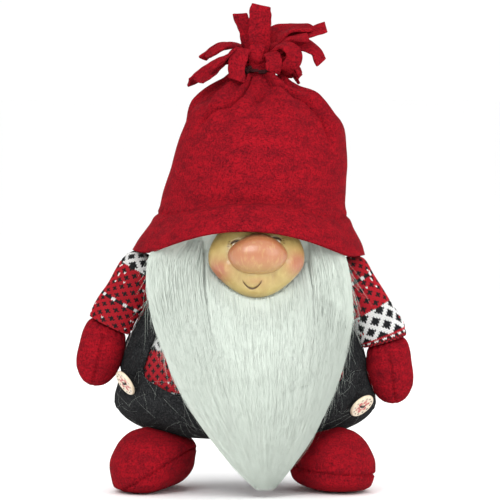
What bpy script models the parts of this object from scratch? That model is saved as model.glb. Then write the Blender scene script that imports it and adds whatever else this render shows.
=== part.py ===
"""A tomte: a stuffed gnome of felt, knit and long fur that stands on two round boots.

The figure faces -Y, +Z is up, and "left" is the side at -X. Everything is in metres.
The body is a pear-shaped knit sack filled with fibre over a bag of pellets. Wool overalls, a
moulded face, a fur beard, a gathered felt hat, two jointed arms and two boots are sewn to it.
Nested layers share one body outline: each is that outline moved in or out by a named distance.
"""

import math

import bmesh
import bpy
from mathutils import Vector

# ---------------------------------------------------------------- driving sizes
GAP = 0.0004  # free space left between pieces that touch

BASE_HEIGHT = 0.041  # the sack's flat base above the floor: the boots hold it up
BODY_HEIGHT = 0.135
BODY_HALF_WIDTH = 0.0895
BODY_DEPTH = 0.86  # the body's depth as a share of its width
BODY_SIDES = 28
BODY_SHAPE = [  # (share of half width, share of height) from the sack's neck to its flat base
    (0.626, 1.0), (0.654, 0.926), (0.7095, 0.830), (0.788, 0.726), (0.866, 0.630), (0.927, 0.541),
    (0.974, 0.437), (1.0, 0.333), (0.998, 0.237), (0.970, 0.1556), (0.894, 0.0852), (0.760, 0.0333),
    (0.581, 0.0037), (0.290, 0.0), (0.0, 0.0),
]
BODY_OUTLINE = [
    (wide * BODY_HALF_WIDTH, BASE_HEIGHT + up * BODY_HEIGHT) for wide, up in BODY_SHAPE
]
NECK_HALF_WIDTH, NECK_HEIGHT = BODY_OUTLINE[0]
KNIT = 0.0015  # thickness of the sweater's knit
WOOL = 0.0025  # thickness of the overalls' wool
FELT = 0.0028  # thickness of the hat's, mittens' and boots' felt
SEAM = GAP + WOOL  # how far the overalls' outer side stands off the sack

BASE_CARD_SHARE = 0.514  # the card's size as a share of the body's
BASE_CARD = 0.0020
PELLET_DEPTH = 0.033  # how high the pellet bag fills the sack
PELLET_TOP = BASE_HEIGHT + PELLET_DEPTH

BIB_EDGE = BASE_HEIGHT + 0.0477  # height of the overalls' front edge where the straps start
BIB_DIP = 0.021  # how far the front opening dips below that edge at the middle
BIB_HALF_WIDTH = 0.85 * BODY_HALF_WIDTH
BACK_PANEL_TOP = BASE_HEIGHT + 0.071
SIDE_OPENING = 0.020  # half width, front to back, of the opening under each arm
SIDE_EDGE = BASE_HEIGHT + 0.023  # height of the overalls' edge in that opening
STRAP_WIDTH = 0.0165
STRAP_TOP = NECK_HEIGHT - 0.004
FRONT_STRAP = [  # (share of the body's half width at the inner edge, share of the strap's height)
    (0.8045, 0.0), (0.693, 0.316), (0.530, 0.604), (0.447, 0.772), (0.369, 1.0),
]
BACK_STRAP = [(0.385, 0.0), (0.360, 0.45), (0.335, 1.0)]

BUTTON_RADIUS = 0.0100
BUTTON_THICKNESS = 0.0026
BUTTON_HOLE = 0.0011
BUTTON_HOLE_SPACING = 0.0042
BUTTON_SHANK = 0.0026  # how far the thread holds a button off the cloth
BUTTON_FORWARD = 0.040
BUTTON_HEIGHTS = {"left": BASE_HEIGHT + 0.039, "right": BASE_HEIGHT + 0.025}
BUTTON_DROOPS = {"left": 0.34, "right": 0.50}  # how far each button looks down
THREAD_RADIUS = 0.0015

HEAD_HEIGHT = 0.084
HEAD_OVER_NECK = 0.0060  # how far the head swells out over the sack's neck
HEAD_HALF_WIDTH = NECK_HALF_WIDTH + HEAD_OVER_NECK
HEAD_DEPTH = 0.90
HEAD_SIDES = 24
HEAD_SHAPE = [  # (share of half width, share of height above the neck)
    (0.0, 1.0), (0.194, 0.992), (0.452, 0.952), (0.710, 0.857), (0.887, 0.714), (0.976, 0.524),
    (1.0, 0.321), (0.984, 0.167),
]
HEAD_OUTLINE = [
    (wide * HEAD_HALF_WIDTH, NECK_HEIGHT + up * HEAD_HEIGHT) for wide, up in HEAD_SHAPE
]
HEAD_OUTLINE.append((NECK_HALF_WIDTH + KNIT, NECK_HEIGHT + GAP))

HAT_HEIGHT = 0.130  # from the body's neck up to the tie
HAT_EASE = 0.0060  # how far the hat's outer side stands off the head
HAT_HALF_WIDTH = HEAD_HALF_WIDTH + HAT_EASE
HAT_DEPTH = 0.93
HAT_SIDES = 32
TIE_HEIGHT = NECK_HEIGHT + HAT_HEIGHT
TIE_RADIUS = 0.0013
HAT_NECK_RADIUS = 0.0122
HAT_NECK = [  # (width over the neck's, height over the tie)
    (0.0018, 0.0050), (0.0008, 0.0025), (0.0, 0.0), (0.0013, -0.0025),
]
HAT_SHAPE = [  # (share of half width, share of the hat's height) from under the neck to the brim
    (0.294, 0.946), (0.456, 0.900), (0.625, 0.831), (0.772, 0.731), (0.882, 0.615),
    (0.956, 0.485), (0.997, 0.338), (1.0, 0.231), (1.044, 0.169), (1.125, 0.108), (1.199, 0.050),
    (1.250, -0.0077),
]
HAT_OUTLINE = [(HAT_NECK_RADIUS + wide, TIE_HEIGHT + up) for wide, up in HAT_NECK]
HAT_OUTLINE += [(wide * HAT_HALF_WIDTH, NECK_HEIGHT + up * HAT_HEIGHT) for wide, up in HAT_SHAPE]
HAT_LEAN = [  # (share of the hat's height, sideways shift): the crown leans, its tip comes back
    (-0.0077, 0.003), (0.223, 0.008), (0.454, 0.012), (0.723, 0.0140), (1.0, 0.0105),
]
BRIM_LOW, BRIM_HIGH = NECK_HEIGHT + 0.014, NECK_HEIGHT + 0.038  # the brim's shaping fades between
BRIM_FORWARD = 0.006
BRIM_ARCH = 0.0170  # how far the brim rises over the face
BRIM_ARCH_ANGLE = math.radians(62)
BRIM_ROLL = 0.020  # drop of the brim per metre to the right
HEM = 0.0022
HEM_HEIGHT = NECK_HEIGHT + 0.0145
HAT_FILL_BASE = NECK_HEIGHT + HEAD_HEIGHT + 0.0015

FRINGE_FELT = 0.0024
FRINGE_ROOT = TIE_HEIGHT + HAT_NECK[0][1] + 0.0018
INNER_RING, OUTER_RING = 0.0062, 0.0114
# name: (direction in degrees, ring, width at root, width at tip, [(outwards, up, sideways) ...])
FRINGE = {
    "tall_front": (-80, INNER_RING, 0.0080, 0.0150,
                   [(0, 0.012, 0), (0.002, 0.026, 0), (0.003, 0.043, 0.001)]),
    "tall_left": (-170, INNER_RING, 0.0080, 0.0100,
                  [(0.001, 0.012, 0), (0.004, 0.025, 0), (0.008, 0.037, 0)]),
    "right_high": (10, INNER_RING, 0.0075, 0.0115,
                   [(0.003, 0.012, 0), (0.020, 0.0215, 0), (0.046, 0.027, 0)]),
    "back_high": (100, INNER_RING, 0.0075, 0.0100,
                  [(0.003, 0.012, 0), (0.018, 0.0215, 0), (0.036, 0.022, 0)]),
    "front_curl": (-112, OUTER_RING, 0.0070, 0.0105,
                   [(0.004, 0.009, 0), (0.013, 0.009, 0), (0.0205, 0.000, 0), (0.024, -0.012, 0)]),
    "left_wide": (-157, OUTER_RING, 0.0070, 0.0120,
                  [(0.004, 0.004, 0), (0.016, 0.003, 0), (0.026, -0.006, 0), (0.032, -0.016, 0)]),
    "left_thin": (158, OUTER_RING, 0.0070, 0.0070,
                  [(0.003, 0.007, 0), (0.012, 0.011, 0), (0.023, 0.007, 0), (0.031, 0.001, 0)]),
    "back_left": (113, OUTER_RING, 0.0070, 0.0100,
                  [(0.004, 0.004, 0), (0.015, 0.004, 0), (0.026, -0.004, 0), (0.034, -0.014, 0)]),
    "back_right": (68, OUTER_RING, 0.0070, 0.0100,
                   [(0.004, 0.005, 0), (0.015, 0.006, 0), (0.026, 0.000, 0), (0.032, -0.010, 0)]),
    "right_curl": (23, OUTER_RING, 0.0070, 0.0095,
                   [(0.004, 0.007, 0), (0.018, 0.012, 0), (0.034, 0.009, 0), (0.042, -0.003, 0)]),
    "right_front": (-22, OUTER_RING, 0.0070, 0.0095,
                    [(0.004, 0.003, 0), (0.014, 0.001, 0), (0.023, -0.003, 0), (0.031, -0.008, 0)]),
    "front_short": (-67, OUTER_RING, 0.0070, 0.0090,
                    [(0.003, 0.003, 0), (0.010, 0.001, 0), (0.015, -0.007, 0)]),
}

FACE_HALF = (0.0347, 0.0140, 0.0290)  # half width, depth, half height
FACE_WALL = 0.0025
FACE_TILT = math.radians(-9)  # the brow leans back
FACE_DROP = 0.0045  # from the sack's neck down to the face's middle
FACE_STANDOFF = 0.0062  # how far the face's back edge stands off the head and the sack
CHIN_SHARE = 0.768  # the sack's width behind the chin as a share of its widest
FACE_FORWARD = FACE_STANDOFF + max(
    HEAD_DEPTH * HEAD_HALF_WIDTH,
    BODY_DEPTH * CHIN_SHARE * BODY_HALF_WIDTH + FACE_HALF[2] * math.sin(FACE_TILT),
)
FACE_CENTRE = (0.009, -FACE_FORWARD, NECK_HEIGHT - FACE_DROP)
NOSE_CENTRE = (FACE_CENTRE[0] + 0.0005, FACE_CENTRE[1] - 0.0125, FACE_CENTRE[2] + 0.001)
NOSE_HALF = (0.0212, 0.0135, 0.0146)

BEARD_TOP, BEARD_TIP = NECK_HEIGHT + 0.014, 0.005
BEARD_SHAPE = [  # (share of height, left edge, right edge) of the fur, from the temples to the tip
    (1.0, -0.046, 0.056), (0.946, -0.057, 0.062), (0.881, -0.066, 0.069), (0.773, -0.067, 0.074),
    (0.643, -0.062, 0.074), (0.5135, -0.055, 0.071), (0.395, -0.045, 0.066), (0.286, -0.034, 0.058),
    (0.178, -0.020, 0.046), (0.081, -0.005, 0.033), (0.0, 0.010, 0.021),
]
BEARD_EDGES = [
    (BEARD_TIP + up * (BEARD_TOP - BEARD_TIP), left, right) for up, left, right in BEARD_SHAPE
]
BEARD_GRID = (10, 12)  # columns and rows of the fur's sheet
BEARD_BACKING = 0.0010
BEARD_THICKNESS = 0.0160
BEARD_SIDE_DEPTH = 0.469 * BODY_HALF_WIDTH  # the fur's side edges reach no further back than this
BELLY_HEIGHT = BASE_HEIGHT + 0.035  # below this the beard hangs free of the belly
BEARD_UNDER_BRIM = NECK_HEIGHT - 0.016  # the fur thins from here up to its top
FACE_NOTCH = 0.0010  # space between the face and the fur around it

ARM_SIDES = 16
SHOULDER_DROPS = {"left": 0.0045, "right": 0.008}  # from the body's neck down to the arm's top
SHOULDER_FORWARD = 0.016
ARM_RADIUS = 0.0150
ARM_REST_GAP = GAP  # space between a hanging arm and the cloth it passes
ARM_LEAN = math.radians(28.5)
HAND_LEANS = {"left": math.radians(13), "right": math.radians(8)}
WRIST_BEND = (0.034, 0.064)  # the arm's lean changes between these distances down the arm
SLEEVE_LENGTH = 0.046
SLEEVE_SHAPE = [  # (share of the arm's radius, distance down the arm) around the shoulder's cap
    (0.20, -0.98), (0.533, -0.847), (0.80, -0.60), (0.967, -0.267), (1.0, 0.133),
]
SLEEVE_OUTLINE = [(wide * ARM_RADIUS, down * ARM_RADIUS) for wide, down in SLEEVE_SHAPE]
SLEEVE_OUTLINE += [
    (ARM_RADIUS + 0.0002, 0.35 * SLEEVE_LENGTH), (ARM_RADIUS, 0.7 * SLEEVE_LENGTH),
    (ARM_RADIUS - 0.0006, SLEEVE_LENGTH),
]
MITTEN_LENGTH = 0.047
MITTEN_SHAPE = [  # (radius over the arm's, share of the mitten's length)
    (0.0010, 0.191), (0.0016, 0.404), (0.0010, 0.617), (-0.0012, 0.798), (-0.0058, 0.932),
    (-0.0110, 0.9915),
]
MITTEN_OUTLINE = [(ARM_RADIUS - 0.0004, SLEEVE_LENGTH + GAP)]
MITTEN_OUTLINE += [
    (ARM_RADIUS + over, SLEEVE_LENGTH + down * MITTEN_LENGTH) for over, down in MITTEN_SHAPE
]
MITTEN_OUTLINE.append((0.0, SLEEVE_LENGTH + MITTEN_LENGTH))
KNOT_RADIUS = 0.0034

BOOT_SIDES = 20
BOOT_SPREAD = {"left": -0.7397 * BODY_HALF_WIDTH, "right": 0.7151 * BODY_HALF_WIDTH}
BOOT_FORWARD = 0.026
BOOT_TURN = math.radians(14)  # toes point outwards
BOOT_HALF_WIDTH, BOOT_HALF_LENGTH = 0.0315, 0.0500
BOOT_TOP = BASE_HEIGHT + 0.0065
BOOT_SEAM = 0.0126
BOOT_UPPER_SHAPE = [  # (share of the boot's half size, share of the height over the seam)
    (0.0, 1.0), (0.28, 0.98), (0.55, 0.90), (0.80, 0.7135), (0.94, 0.4556), (1.0, 0.1834),
]
BOOT_UPPER_OUTLINE = [
    (share, BOOT_SEAM + up * (BOOT_TOP - BOOT_SEAM)) for share, up in BOOT_UPPER_SHAPE
]
BOOT_UPPER_OUTLINE.append((0.985, BOOT_SEAM + 3 * GAP))
BOOT_SOLE_OUTLINE = [
    (0.985, BOOT_SEAM), (0.95, 0.556 * BOOT_SEAM), (0.85, 0.175 * BOOT_SEAM), (0.70, 0.0), (0.0, 0.0),
]
INSOLE = 0.0015
INSOLE_SHARE = 0.66

SPAN_STEPS = 3  # curve points made per span of a fringe strip


# ---------------------------------------------------------------- helpers
def clear_scene():
    for old in list(bpy.data.objects):
        bpy.data.objects.remove(old, do_unlink=True)


def new_collection(name, hidden=False):
    collection = bpy.data.collections.new(name)
    bpy.context.scene.collection.children.link(collection)
    collection.hide_render = hidden
    return collection


def new_material(name, colour, roughness, metallic=0.0):
    material = bpy.data.materials.new(name)
    material.use_nodes = True
    shader = material.node_tree.nodes["Principled BSDF"]
    shader.inputs["Base Color"].default_value = (*colour, 1.0)
    shader.inputs["Roughness"].default_value = roughness
    shader.inputs["Metallic"].default_value = metallic
    return material


def new_empty(name, place, parent=None):
    empty = bpy.data.objects.new(name, None)
    empty.location = place
    empty.parent = parent
    parts.objects.link(empty)
    return empty


def add_object(name, mesh, material=None, parent=None, cutter=False):
    obj = bpy.data.objects.new(name, mesh)
    (cutters if cutter else parts).objects.link(obj)
    obj.parent = parent
    if cutter:
        obj.hide_render = True
        obj.display_type = "WIRE"
    if material:
        mesh.materials.append(material)
    return obj


def evaluated_mesh(obj):
    graph = bpy.context.evaluated_depsgraph_get()
    return bpy.data.meshes.new_from_object(obj.evaluated_get(graph))


def facing_out(mesh, centre=None):
    """Merges doubles and turns the faces so that their normals point away from the middle."""
    shape = bmesh.new()
    shape.from_mesh(mesh)
    bmesh.ops.remove_doubles(shape, verts=shape.verts, dist=0.00002)
    bmesh.ops.recalc_face_normals(shape, faces=shape.faces)
    middle = centre or sum((v.co for v in shape.verts), Vector()) / len(shape.verts)
    outward = sum(f.normal.dot(f.calc_center_median() - middle) * f.calc_area() for f in shape.faces)
    if outward < 0:
        bmesh.ops.reverse_faces(shape, faces=shape.faces)
    shape.to_mesh(mesh)
    shape.free()
    return mesh


def turned(outline, sides):
    """The mesh of an outline of (radius, height) points, turned about Z by a Screw modifier."""
    mesh = bpy.data.meshes.new("outline")
    mesh.from_pydata(
        [(radius, 0.0, height) for radius, height in outline],
        [(i, i + 1) for i in range(len(outline) - 1)],
        [],
    )
    holder = add_object("turning", mesh, cutter=True)
    screw = holder.modifiers.new("Screw", "SCREW")
    screw.axis = "Z"
    screw.steps = screw.render_steps = sides
    screw.use_merge_vertices = True
    screw.merge_threshold = 0.00002
    bpy.context.view_layer.update()
    surface = evaluated_mesh(holder)
    bpy.data.objects.remove(holder)
    return facing_out(surface)


def swollen(mesh, distance):
    """The same mesh with every point moved along its normal."""
    for vertex, normal in [(v, v.normal.copy()) for v in mesh.vertices]:
        vertex.co += normal * distance
    return mesh


def reshaped(mesh, move):
    for vertex in mesh.vertices:
        vertex.co = move(vertex.co.copy())
    mesh.update()
    return mesh


def filled(mesh):
    """The mesh with its openings closed by flat faces."""
    shape = bmesh.new()
    shape.from_mesh(mesh)
    rims = [edge for edge in shape.edges if edge.is_boundary]
    bmesh.ops.holes_fill(shape, edges=rims, sides=0)
    bmesh.ops.recalc_face_normals(shape, faces=shape.faces)
    shape.to_mesh(mesh)
    shape.free()
    return mesh


def add_wall(obj, thickness, outwards=False):
    """Gives an open surface its thickness, on the inner or the outer side."""
    wall = obj.modifiers.new("Wall", "SOLIDIFY")
    wall.thickness = thickness
    wall.offset = 1.0 if outwards else -1.0
    return obj


def boolean(obj, other, operation):
    modifier = obj.modifiers.new(operation.title(), "BOOLEAN")
    modifier.object = other
    modifier.operation = operation
    return obj


def smooth_shading(obj, angle=math.radians(40)):
    obj.data.shade_smooth()
    obj.data.set_sharp_from_angle(angle=angle)
    return obj


def curve_through(points, steps=SPAN_STEPS):
    """Points on a smooth (Catmull-Rom) curve through the given ones."""
    ends = [points[0] * 2 - points[1], *points, points[-1] * 2 - points[-2]]
    found = []
    for before, start, stop, after in zip(ends, ends[1:], ends[2:], ends[3:]):
        for step in range(steps):
            t = step / steps
            found.append(
                0.5 * (
                    2 * start
                    + (stop - before) * t
                    + (2 * before - 5 * start + 4 * stop - after) * t**2
                    + (3 * start - before - 3 * stop + after) * t**3
                )
            )
    return [*found, points[-1]]


def between(table, at, column=1):
    """The value in a column of a table at a place in its first column, on straight lines."""
    rows = sorted(table)
    if at <= rows[0][0]:
        return rows[0][column]
    for low, high in zip(rows, rows[1:]):
        if at <= high[0]:
            share = (at - low[0]) / (high[0] - low[0])
            return low[column] + share * (high[column] - low[column])
    return rows[-1][column]


def smooth_step(low, high, at):
    share = min(1.0, max(0.0, (at - low) / (high - low)))
    return share * share * (3 - 2 * share)


def prism(name, outline, front, back):
    """A cutter with an (x, z) outline that runs from front to back along Y."""
    curve = bpy.data.curves.new(name, "CURVE")
    curve.dimensions = "2D"
    curve.fill_mode = "BOTH"
    curve.extrude = (back - front) / 2
    spline = curve.splines.new("POLY")
    spline.points.add(len(outline) - 1)
    for point, (x, z) in zip(spline.points, outline):
        point.co = (x, z, 0.0, 1.0)
    spline.use_cyclic_u = True
    flat = bpy.data.objects.new(name, curve)
    cutters.objects.link(flat)
    bpy.context.view_layer.update()
    mesh = evaluated_mesh(flat)
    bpy.data.objects.remove(flat)
    middle = (front + back) / 2
    reshaped(mesh, lambda co: Vector((co.x, middle - co.z, co.y)))
    return add_object(name, facing_out(mesh), parent=figure, cutter=True)


def ellipsoid(half, centre, segments, rings):
    """A ball mesh with the given half sizes."""
    shape = bmesh.new()
    bmesh.ops.create_uvsphere(shape, u_segments=segments, v_segments=rings, radius=1.0)
    mesh = bpy.data.meshes.new("ball")
    shape.to_mesh(mesh)
    shape.free()
    return reshaped(mesh, lambda co: Vector(a * b + c for a, b, c in zip(co, half, centre)))


# ---------------------------------------------------------------- body
def body_half_width(height):
    """Half width of the knit sack at a height; above its neck, of the head that plugs it."""
    if height > NECK_HEIGHT:
        return between([(z, r) for r, z in HEAD_OUTLINE], height)
    return between([(z, r) for r, z in BODY_OUTLINE if r > 0.03], height)


def body_side(height, forward, out=0.0):
    """Distance from the middle to the side of the body, at a height and a distance forward."""
    half = body_half_width(height) + out
    return half * math.sqrt(1 - (forward / (BODY_DEPTH * half)) ** 2)


def body_surface(out, sides=BODY_SIDES, outline=None):
    """The body's surface, moved out (or in) by a distance."""
    mesh = turned(outline or BODY_OUTLINE, sides)
    reshaped(mesh, lambda co: Vector((co.x, co.y * BODY_DEPTH, co.z)))
    return swollen(mesh, out)


def make_body():
    sweater = add_object("sweater_body", body_surface(0.0), knit, figure)
    smooth_shading(add_wall(sweater, KNIT))

    inside = KNIT + GAP
    card = bmesh.new()
    card_radius = BASE_CARD_SHARE * BODY_HALF_WIDTH
    corner = [(radius, height) for radius, height in BODY_OUTLINE[-5:]]
    bmesh.ops.create_cone(
        card, cap_ends=True, segments=BODY_SIDES, radius1=card_radius, radius2=card_radius,
        depth=BASE_CARD,
    )
    card_mesh = bpy.data.meshes.new("base_card")
    card.to_mesh(card_mesh)
    card.free()
    card_base = between(corner, card_radius) + inside
    card_middle = card_base + BASE_CARD / 2
    reshaped(card_mesh, lambda co: Vector((co.x, co.y * BODY_DEPTH, co.z + card_middle)))
    add_object("base_card", card_mesh, cardboard, figure)

    bag_base = card_base + BASE_CARD + GAP
    slack = 0.0035 + inside
    bag_outline = [(0.0, PELLET_TOP), (0.503 * BODY_HALF_WIDTH, PELLET_TOP - 0.001)]
    for share, inset in ((0.879, 0.010), (0.576, 0.0), (0.348, 0.0)):
        height = BASE_HEIGHT + share * PELLET_DEPTH
        bag_outline.append((body_half_width(height) - slack - inset, height + 0.001))
    for share, lift in ((0.670, 0.001), (0.536, 0.0), (0.0, 0.0)):
        bag_outline.append((share * BODY_HALF_WIDTH, bag_base + lift))
    bag = add_object("pellet_bag", body_surface(0.0, outline=bag_outline), pellets, figure)
    smooth_shading(bag)

    fill_base = PELLET_TOP + GAP
    fill_outline = [point for point in BODY_OUTLINE if point[1] > fill_base]
    fill_outline.append((body_half_width(fill_base), fill_base))
    fill_outline[0] = (fill_outline[0][0], NECK_HEIGHT - GAP)
    fill = filled(body_surface(-inside, outline=fill_outline))
    smooth_shading(add_object("body_stuffing", fill, fibre, figure))


def make_overalls():
    inner = GAP
    low_outline = [point for point in BODY_OUTLINE if point[1] < BACK_PANEL_TOP]
    low_outline.insert(0, (body_half_width(BACK_PANEL_TOP), BACK_PANEL_TOP))
    trousers = add_object(
        "overalls", body_surface(inner, outline=low_outline), wool, figure
    )
    add_wall(trousers, WOOL, outwards=True)
    wide, high = 0.120, BACK_PANEL_TOP + 0.02
    dip = [
        (x, BIB_EDGE - BIB_DIP * (1 - (abs(x) / BIB_HALF_WIDTH) ** 3))
        for x in [BIB_HALF_WIDTH * step / 5 for step in range(-5, 6)]
    ]
    front = [(-wide, BIB_EDGE), *dip, (wide, BIB_EDGE), (wide, high), (-wide, high)]
    boolean(trousers, prism("bib_cutter", front, -0.12, 0.0), "DIFFERENCE")
    side = [(-wide, SIDE_EDGE), (wide, SIDE_EDGE), (wide, high), (-wide, high)]
    boolean(
        trousers, prism("side_cutter", side, -SIDE_OPENING, SIDE_OPENING), "DIFFERENCE"
    )
    smooth_shading(trousers)

    for place, edges, base, front_end, back_end in (
        ("front", FRONT_STRAP, BIB_EDGE, -0.12, -0.010),
        ("back", BACK_STRAP, BACK_PANEL_TOP, 0.010, 0.12),
    ):
        start = base + GAP
        tall = [p for p in BODY_OUTLINE if start + 0.002 < p[1] < STRAP_TOP - 0.002]
        tall = [(body_half_width(STRAP_TOP), STRAP_TOP), *tall, (body_half_width(start), start)]
        rows = [
            (share * BODY_HALF_WIDTH, base + up * (STRAP_TOP - base)) for share, up in edges
        ]
        rows = [(rows[0][0], base - 0.006), *rows, (rows[-1][0], STRAP_TOP + 0.004)]
        for name, sign in (("left", -1), ("right", 1)):
            strap = add_object(
                f"strap_{place}_{name}", body_surface(inner, outline=tall), wool, figure
            )
            add_wall(strap, WOOL, outwards=True)
            outline = [(sign * x, z) for x, z in rows]
            outline += [(sign * (x + STRAP_WIDTH), z) for x, z in reversed(rows)]
            band = prism(f"strap_{place}_{name}_cutter", outline, front_end, back_end)
            boolean(strap, band, "INTERSECT")
            smooth_shading(strap)


def make_button(name, side):
    """A round wooden button held off the cloth by its thread."""
    height = BUTTON_HEIGHTS[name]
    side_place = side * body_side(height, BUTTON_FORWARD, SEAM)
    cloth = Vector((side_place, -BUTTON_FORWARD, height))
    level = Vector((side_place, -BUTTON_FORWARD / BODY_DEPTH**2, 0.0)).normalized()
    normal = (level - Vector((0, 0, BUTTON_DROOPS[name]))).normalized()
    turn = normal.to_track_quat("Z", "Y")
    shape = bmesh.new()
    bmesh.ops.create_cone(
        shape, cap_ends=True, segments=24, radius1=BUTTON_RADIUS, radius2=BUTTON_RADIUS,
        depth=BUTTON_THICKNESS,
    )
    mesh = bpy.data.meshes.new(name)
    shape.to_mesh(mesh)
    shape.free()
    button = add_object(f"button_{name}", mesh, wood, figure)
    button.rotation_mode = "QUATERNION"
    button.rotation_quaternion = turn
    lift = BUTTON_SHANK + GAP + BUTTON_THICKNESS / 2
    button.location = cloth + normal * lift
    for number, sign in enumerate((-1, 1)):
        drill = bmesh.new()
        bmesh.ops.create_cone(
            drill, cap_ends=True, segments=10, radius1=BUTTON_HOLE, radius2=BUTTON_HOLE,
            depth=BUTTON_THICKNESS * 3,
        )
        bmesh.ops.translate(drill, verts=drill.verts, vec=(sign * BUTTON_HOLE_SPACING / 2, 0, 0))
        drill_mesh = bpy.data.meshes.new("drill")
        drill.to_mesh(drill_mesh)
        drill.free()
        cutter = add_object(f"button_{name}_drill_{number}", drill_mesh, parent=button, cutter=True)
        boolean(button, cutter, "DIFFERENCE")

    shank = bmesh.new()
    length = BUTTON_SHANK - GAP
    bmesh.ops.create_cone(
        shank, cap_ends=True, segments=10, radius1=THREAD_RADIUS, radius2=THREAD_RADIUS,
        depth=length,
    )
    shank_mesh = bpy.data.meshes.new("shank")
    shank.to_mesh(shank_mesh)
    shank.free()
    thread = add_object(f"button_thread_{name}", shank_mesh, cotton, figure)
    thread.rotation_mode = "QUATERNION"
    thread.rotation_quaternion = turn
    thread.location = cloth + normal * (GAP + length / 2)
    boolean(thread, envelope, "DIFFERENCE")


# ---------------------------------------------------------------- head, face and beard
def lean_at(height):
    """How far the head and the hat lean to the right at a height."""
    return between(HAT_LEAN, (height - NECK_HEIGHT) / HAT_HEIGHT)


def make_head():
    def place(co):
        return Vector((co.x + lean_at(co.z), co.y * HEAD_DEPTH, co.z))

    surface = reshaped(turned(HEAD_OUTLINE, HEAD_SIDES), place)
    cover = add_object("head_cover", surface, cotton, figure)
    smooth_shading(add_wall(cover, KNIT))
    inner = swollen(reshaped(turned(HEAD_OUTLINE, HEAD_SIDES), place), -KNIT - GAP)
    base = NECK_HEIGHT + GAP
    reshaped(inner, lambda co: Vector((co.x, co.y, max(co.z, base))))
    smooth_shading(add_object("head_stuffing", filled(inner), fibre, figure))


def tilted(co):
    """A point of the face, leant back about the face's middle."""
    arm = Vector(co) - Vector(FACE_CENTRE)
    cos, sin = math.cos(FACE_TILT), math.sin(FACE_TILT)
    turned_arm = Vector((arm.x, arm.y * cos - arm.z * sin, arm.y * sin + arm.z * cos))
    return Vector(FACE_CENTRE) + turned_arm


def make_face():
    """A cast mask: a hollow half ball for the face, with a solid nose in one piece with it."""
    shape = bmesh.new()
    shape.from_mesh(ellipsoid(FACE_HALF, FACE_CENTRE, 24, 14))
    bmesh.ops.bisect_plane(
        shape, geom=[*shape.verts, *shape.edges, *shape.faces], plane_co=FACE_CENTRE,
        plane_no=(0, 1, 0), clear_outer=True,
    )
    mesh = bpy.data.meshes.new("face_mask")
    shape.to_mesh(mesh)
    shape.free()
    facing_out(mesh, Vector(FACE_CENTRE))
    face = add_object("face_mask", reshaped(mesh, tilted), resin, figure)
    add_wall(face, FACE_WALL)
    nose = add_object(
        "nose_joined", reshaped(ellipsoid(NOSE_HALF, NOSE_CENTRE, 20, 12), tilted), resin,
        figure, cutter=True,
    )
    boolean(face, nose, "UNION")
    smooth_shading(face)


def beard_back(x, height, out):
    """How far forward the beard's back lies at a place across and a height, moved out by out."""
    half = body_half_width(max(height, BELLY_HEIGHT))
    on_head = smooth_step(NECK_HEIGHT - 0.018, NECK_HEIGHT, height)
    depth = BODY_DEPTH + (HEAD_DEPTH - BODY_DEPTH) * on_head
    across = x - lean_at(height) * on_head
    wide, deep = half + SEAM + out, depth * half + SEAM + out
    return -max(deep * math.sqrt(max(0.0, 1 - (across / wide) ** 2)), BEARD_SIDE_DEPTH + out)


def beard_surface(out, narrower=0, shorter=0):
    """A sheet over the beard's area, on one grid. It can leave out columns at each side, and rows
    at the tip."""
    columns, rows = BEARD_GRID[0] - 2 * narrower, BEARD_GRID[1] - shorter
    shape = bmesh.new()
    bmesh.ops.create_grid(shape, x_segments=columns, y_segments=rows, size=0.5)
    for vertex in shape.verts:
        up = 1 - (0.5 - vertex.co.y) * rows / BEARD_GRID[1]
        height = BEARD_TIP + up * (BEARD_TOP - BEARD_TIP)
        left, right = between(BEARD_EDGES, height, 1), between(BEARD_EDGES, height, 2)
        x = (left + right) / 2 + vertex.co.x * columns / BEARD_GRID[0] * (right - left)
        vertex.co = Vector((x, beard_back(x, height, out), height))
    mesh = bpy.data.meshes.new("beard")
    shape.to_mesh(mesh)
    shape.free()
    return facing_out(mesh, Vector((0, 0, 0.1)))


def make_beard():
    cloth_out = 3 * GAP
    cloth = beard_surface(cloth_out, narrower=1, shorter=1)
    backing = add_object("beard_backing", cloth, cotton, figure)
    smooth_shading(add_wall(backing, BEARD_BACKING, outwards=True))

    fur_out = cloth_out + BEARD_BACKING + 3 * GAP
    pile = add_object("beard_pile", beard_surface(fur_out), fur, figure)
    group = pile.vertex_groups.new(name="thickness")
    for vertex in pile.data.vertices:
        height = vertex.co.z
        left, right = between(BEARD_EDGES, height, 1), between(BEARD_EDGES, height, 2)
        across = abs(vertex.co.x - (left + right) / 2) / ((right - left) / 2)
        crown = math.sqrt(max(0.0, 1 - across**2))
        tip = 0.25 + 0.75 * smooth_step(BEARD_TIP, BEARD_TIP + 0.055, height)
        under_brim = 1 - 0.55 * smooth_step(BEARD_UNDER_BRIM, BEARD_TOP, height)
        group.add([vertex.index], 0.16 + 0.84 * crown * tip * under_brim, "REPLACE")
    add_wall(pile, BEARD_THICKNESS, outwards=True)
    pile.modifiers["Wall"].vertex_group = group.name

    notch = bmesh.new()
    bmesh.ops.create_cone(
        notch, cap_ends=True, segments=28, radius1=1.0, radius2=1.0, depth=0.100
    )
    notch_mesh = bpy.data.meshes.new("face_notch")
    notch.to_mesh(notch_mesh)
    notch.free()
    middle = Vector(FACE_CENTRE)
    half_x, half_z = FACE_HALF[0] + FACE_NOTCH, FACE_HALF[2] + FACE_NOTCH
    reshaped(
        notch_mesh, lambda co: tilted(middle + Vector((co.x * half_x, co.z, co.y * half_z)))
    )
    cutter = add_object("face_notch", facing_out(notch_mesh), parent=figure, cutter=True)
    boolean(pile, cutter, "DIFFERENCE")
    smooth_shading(pile)


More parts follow.
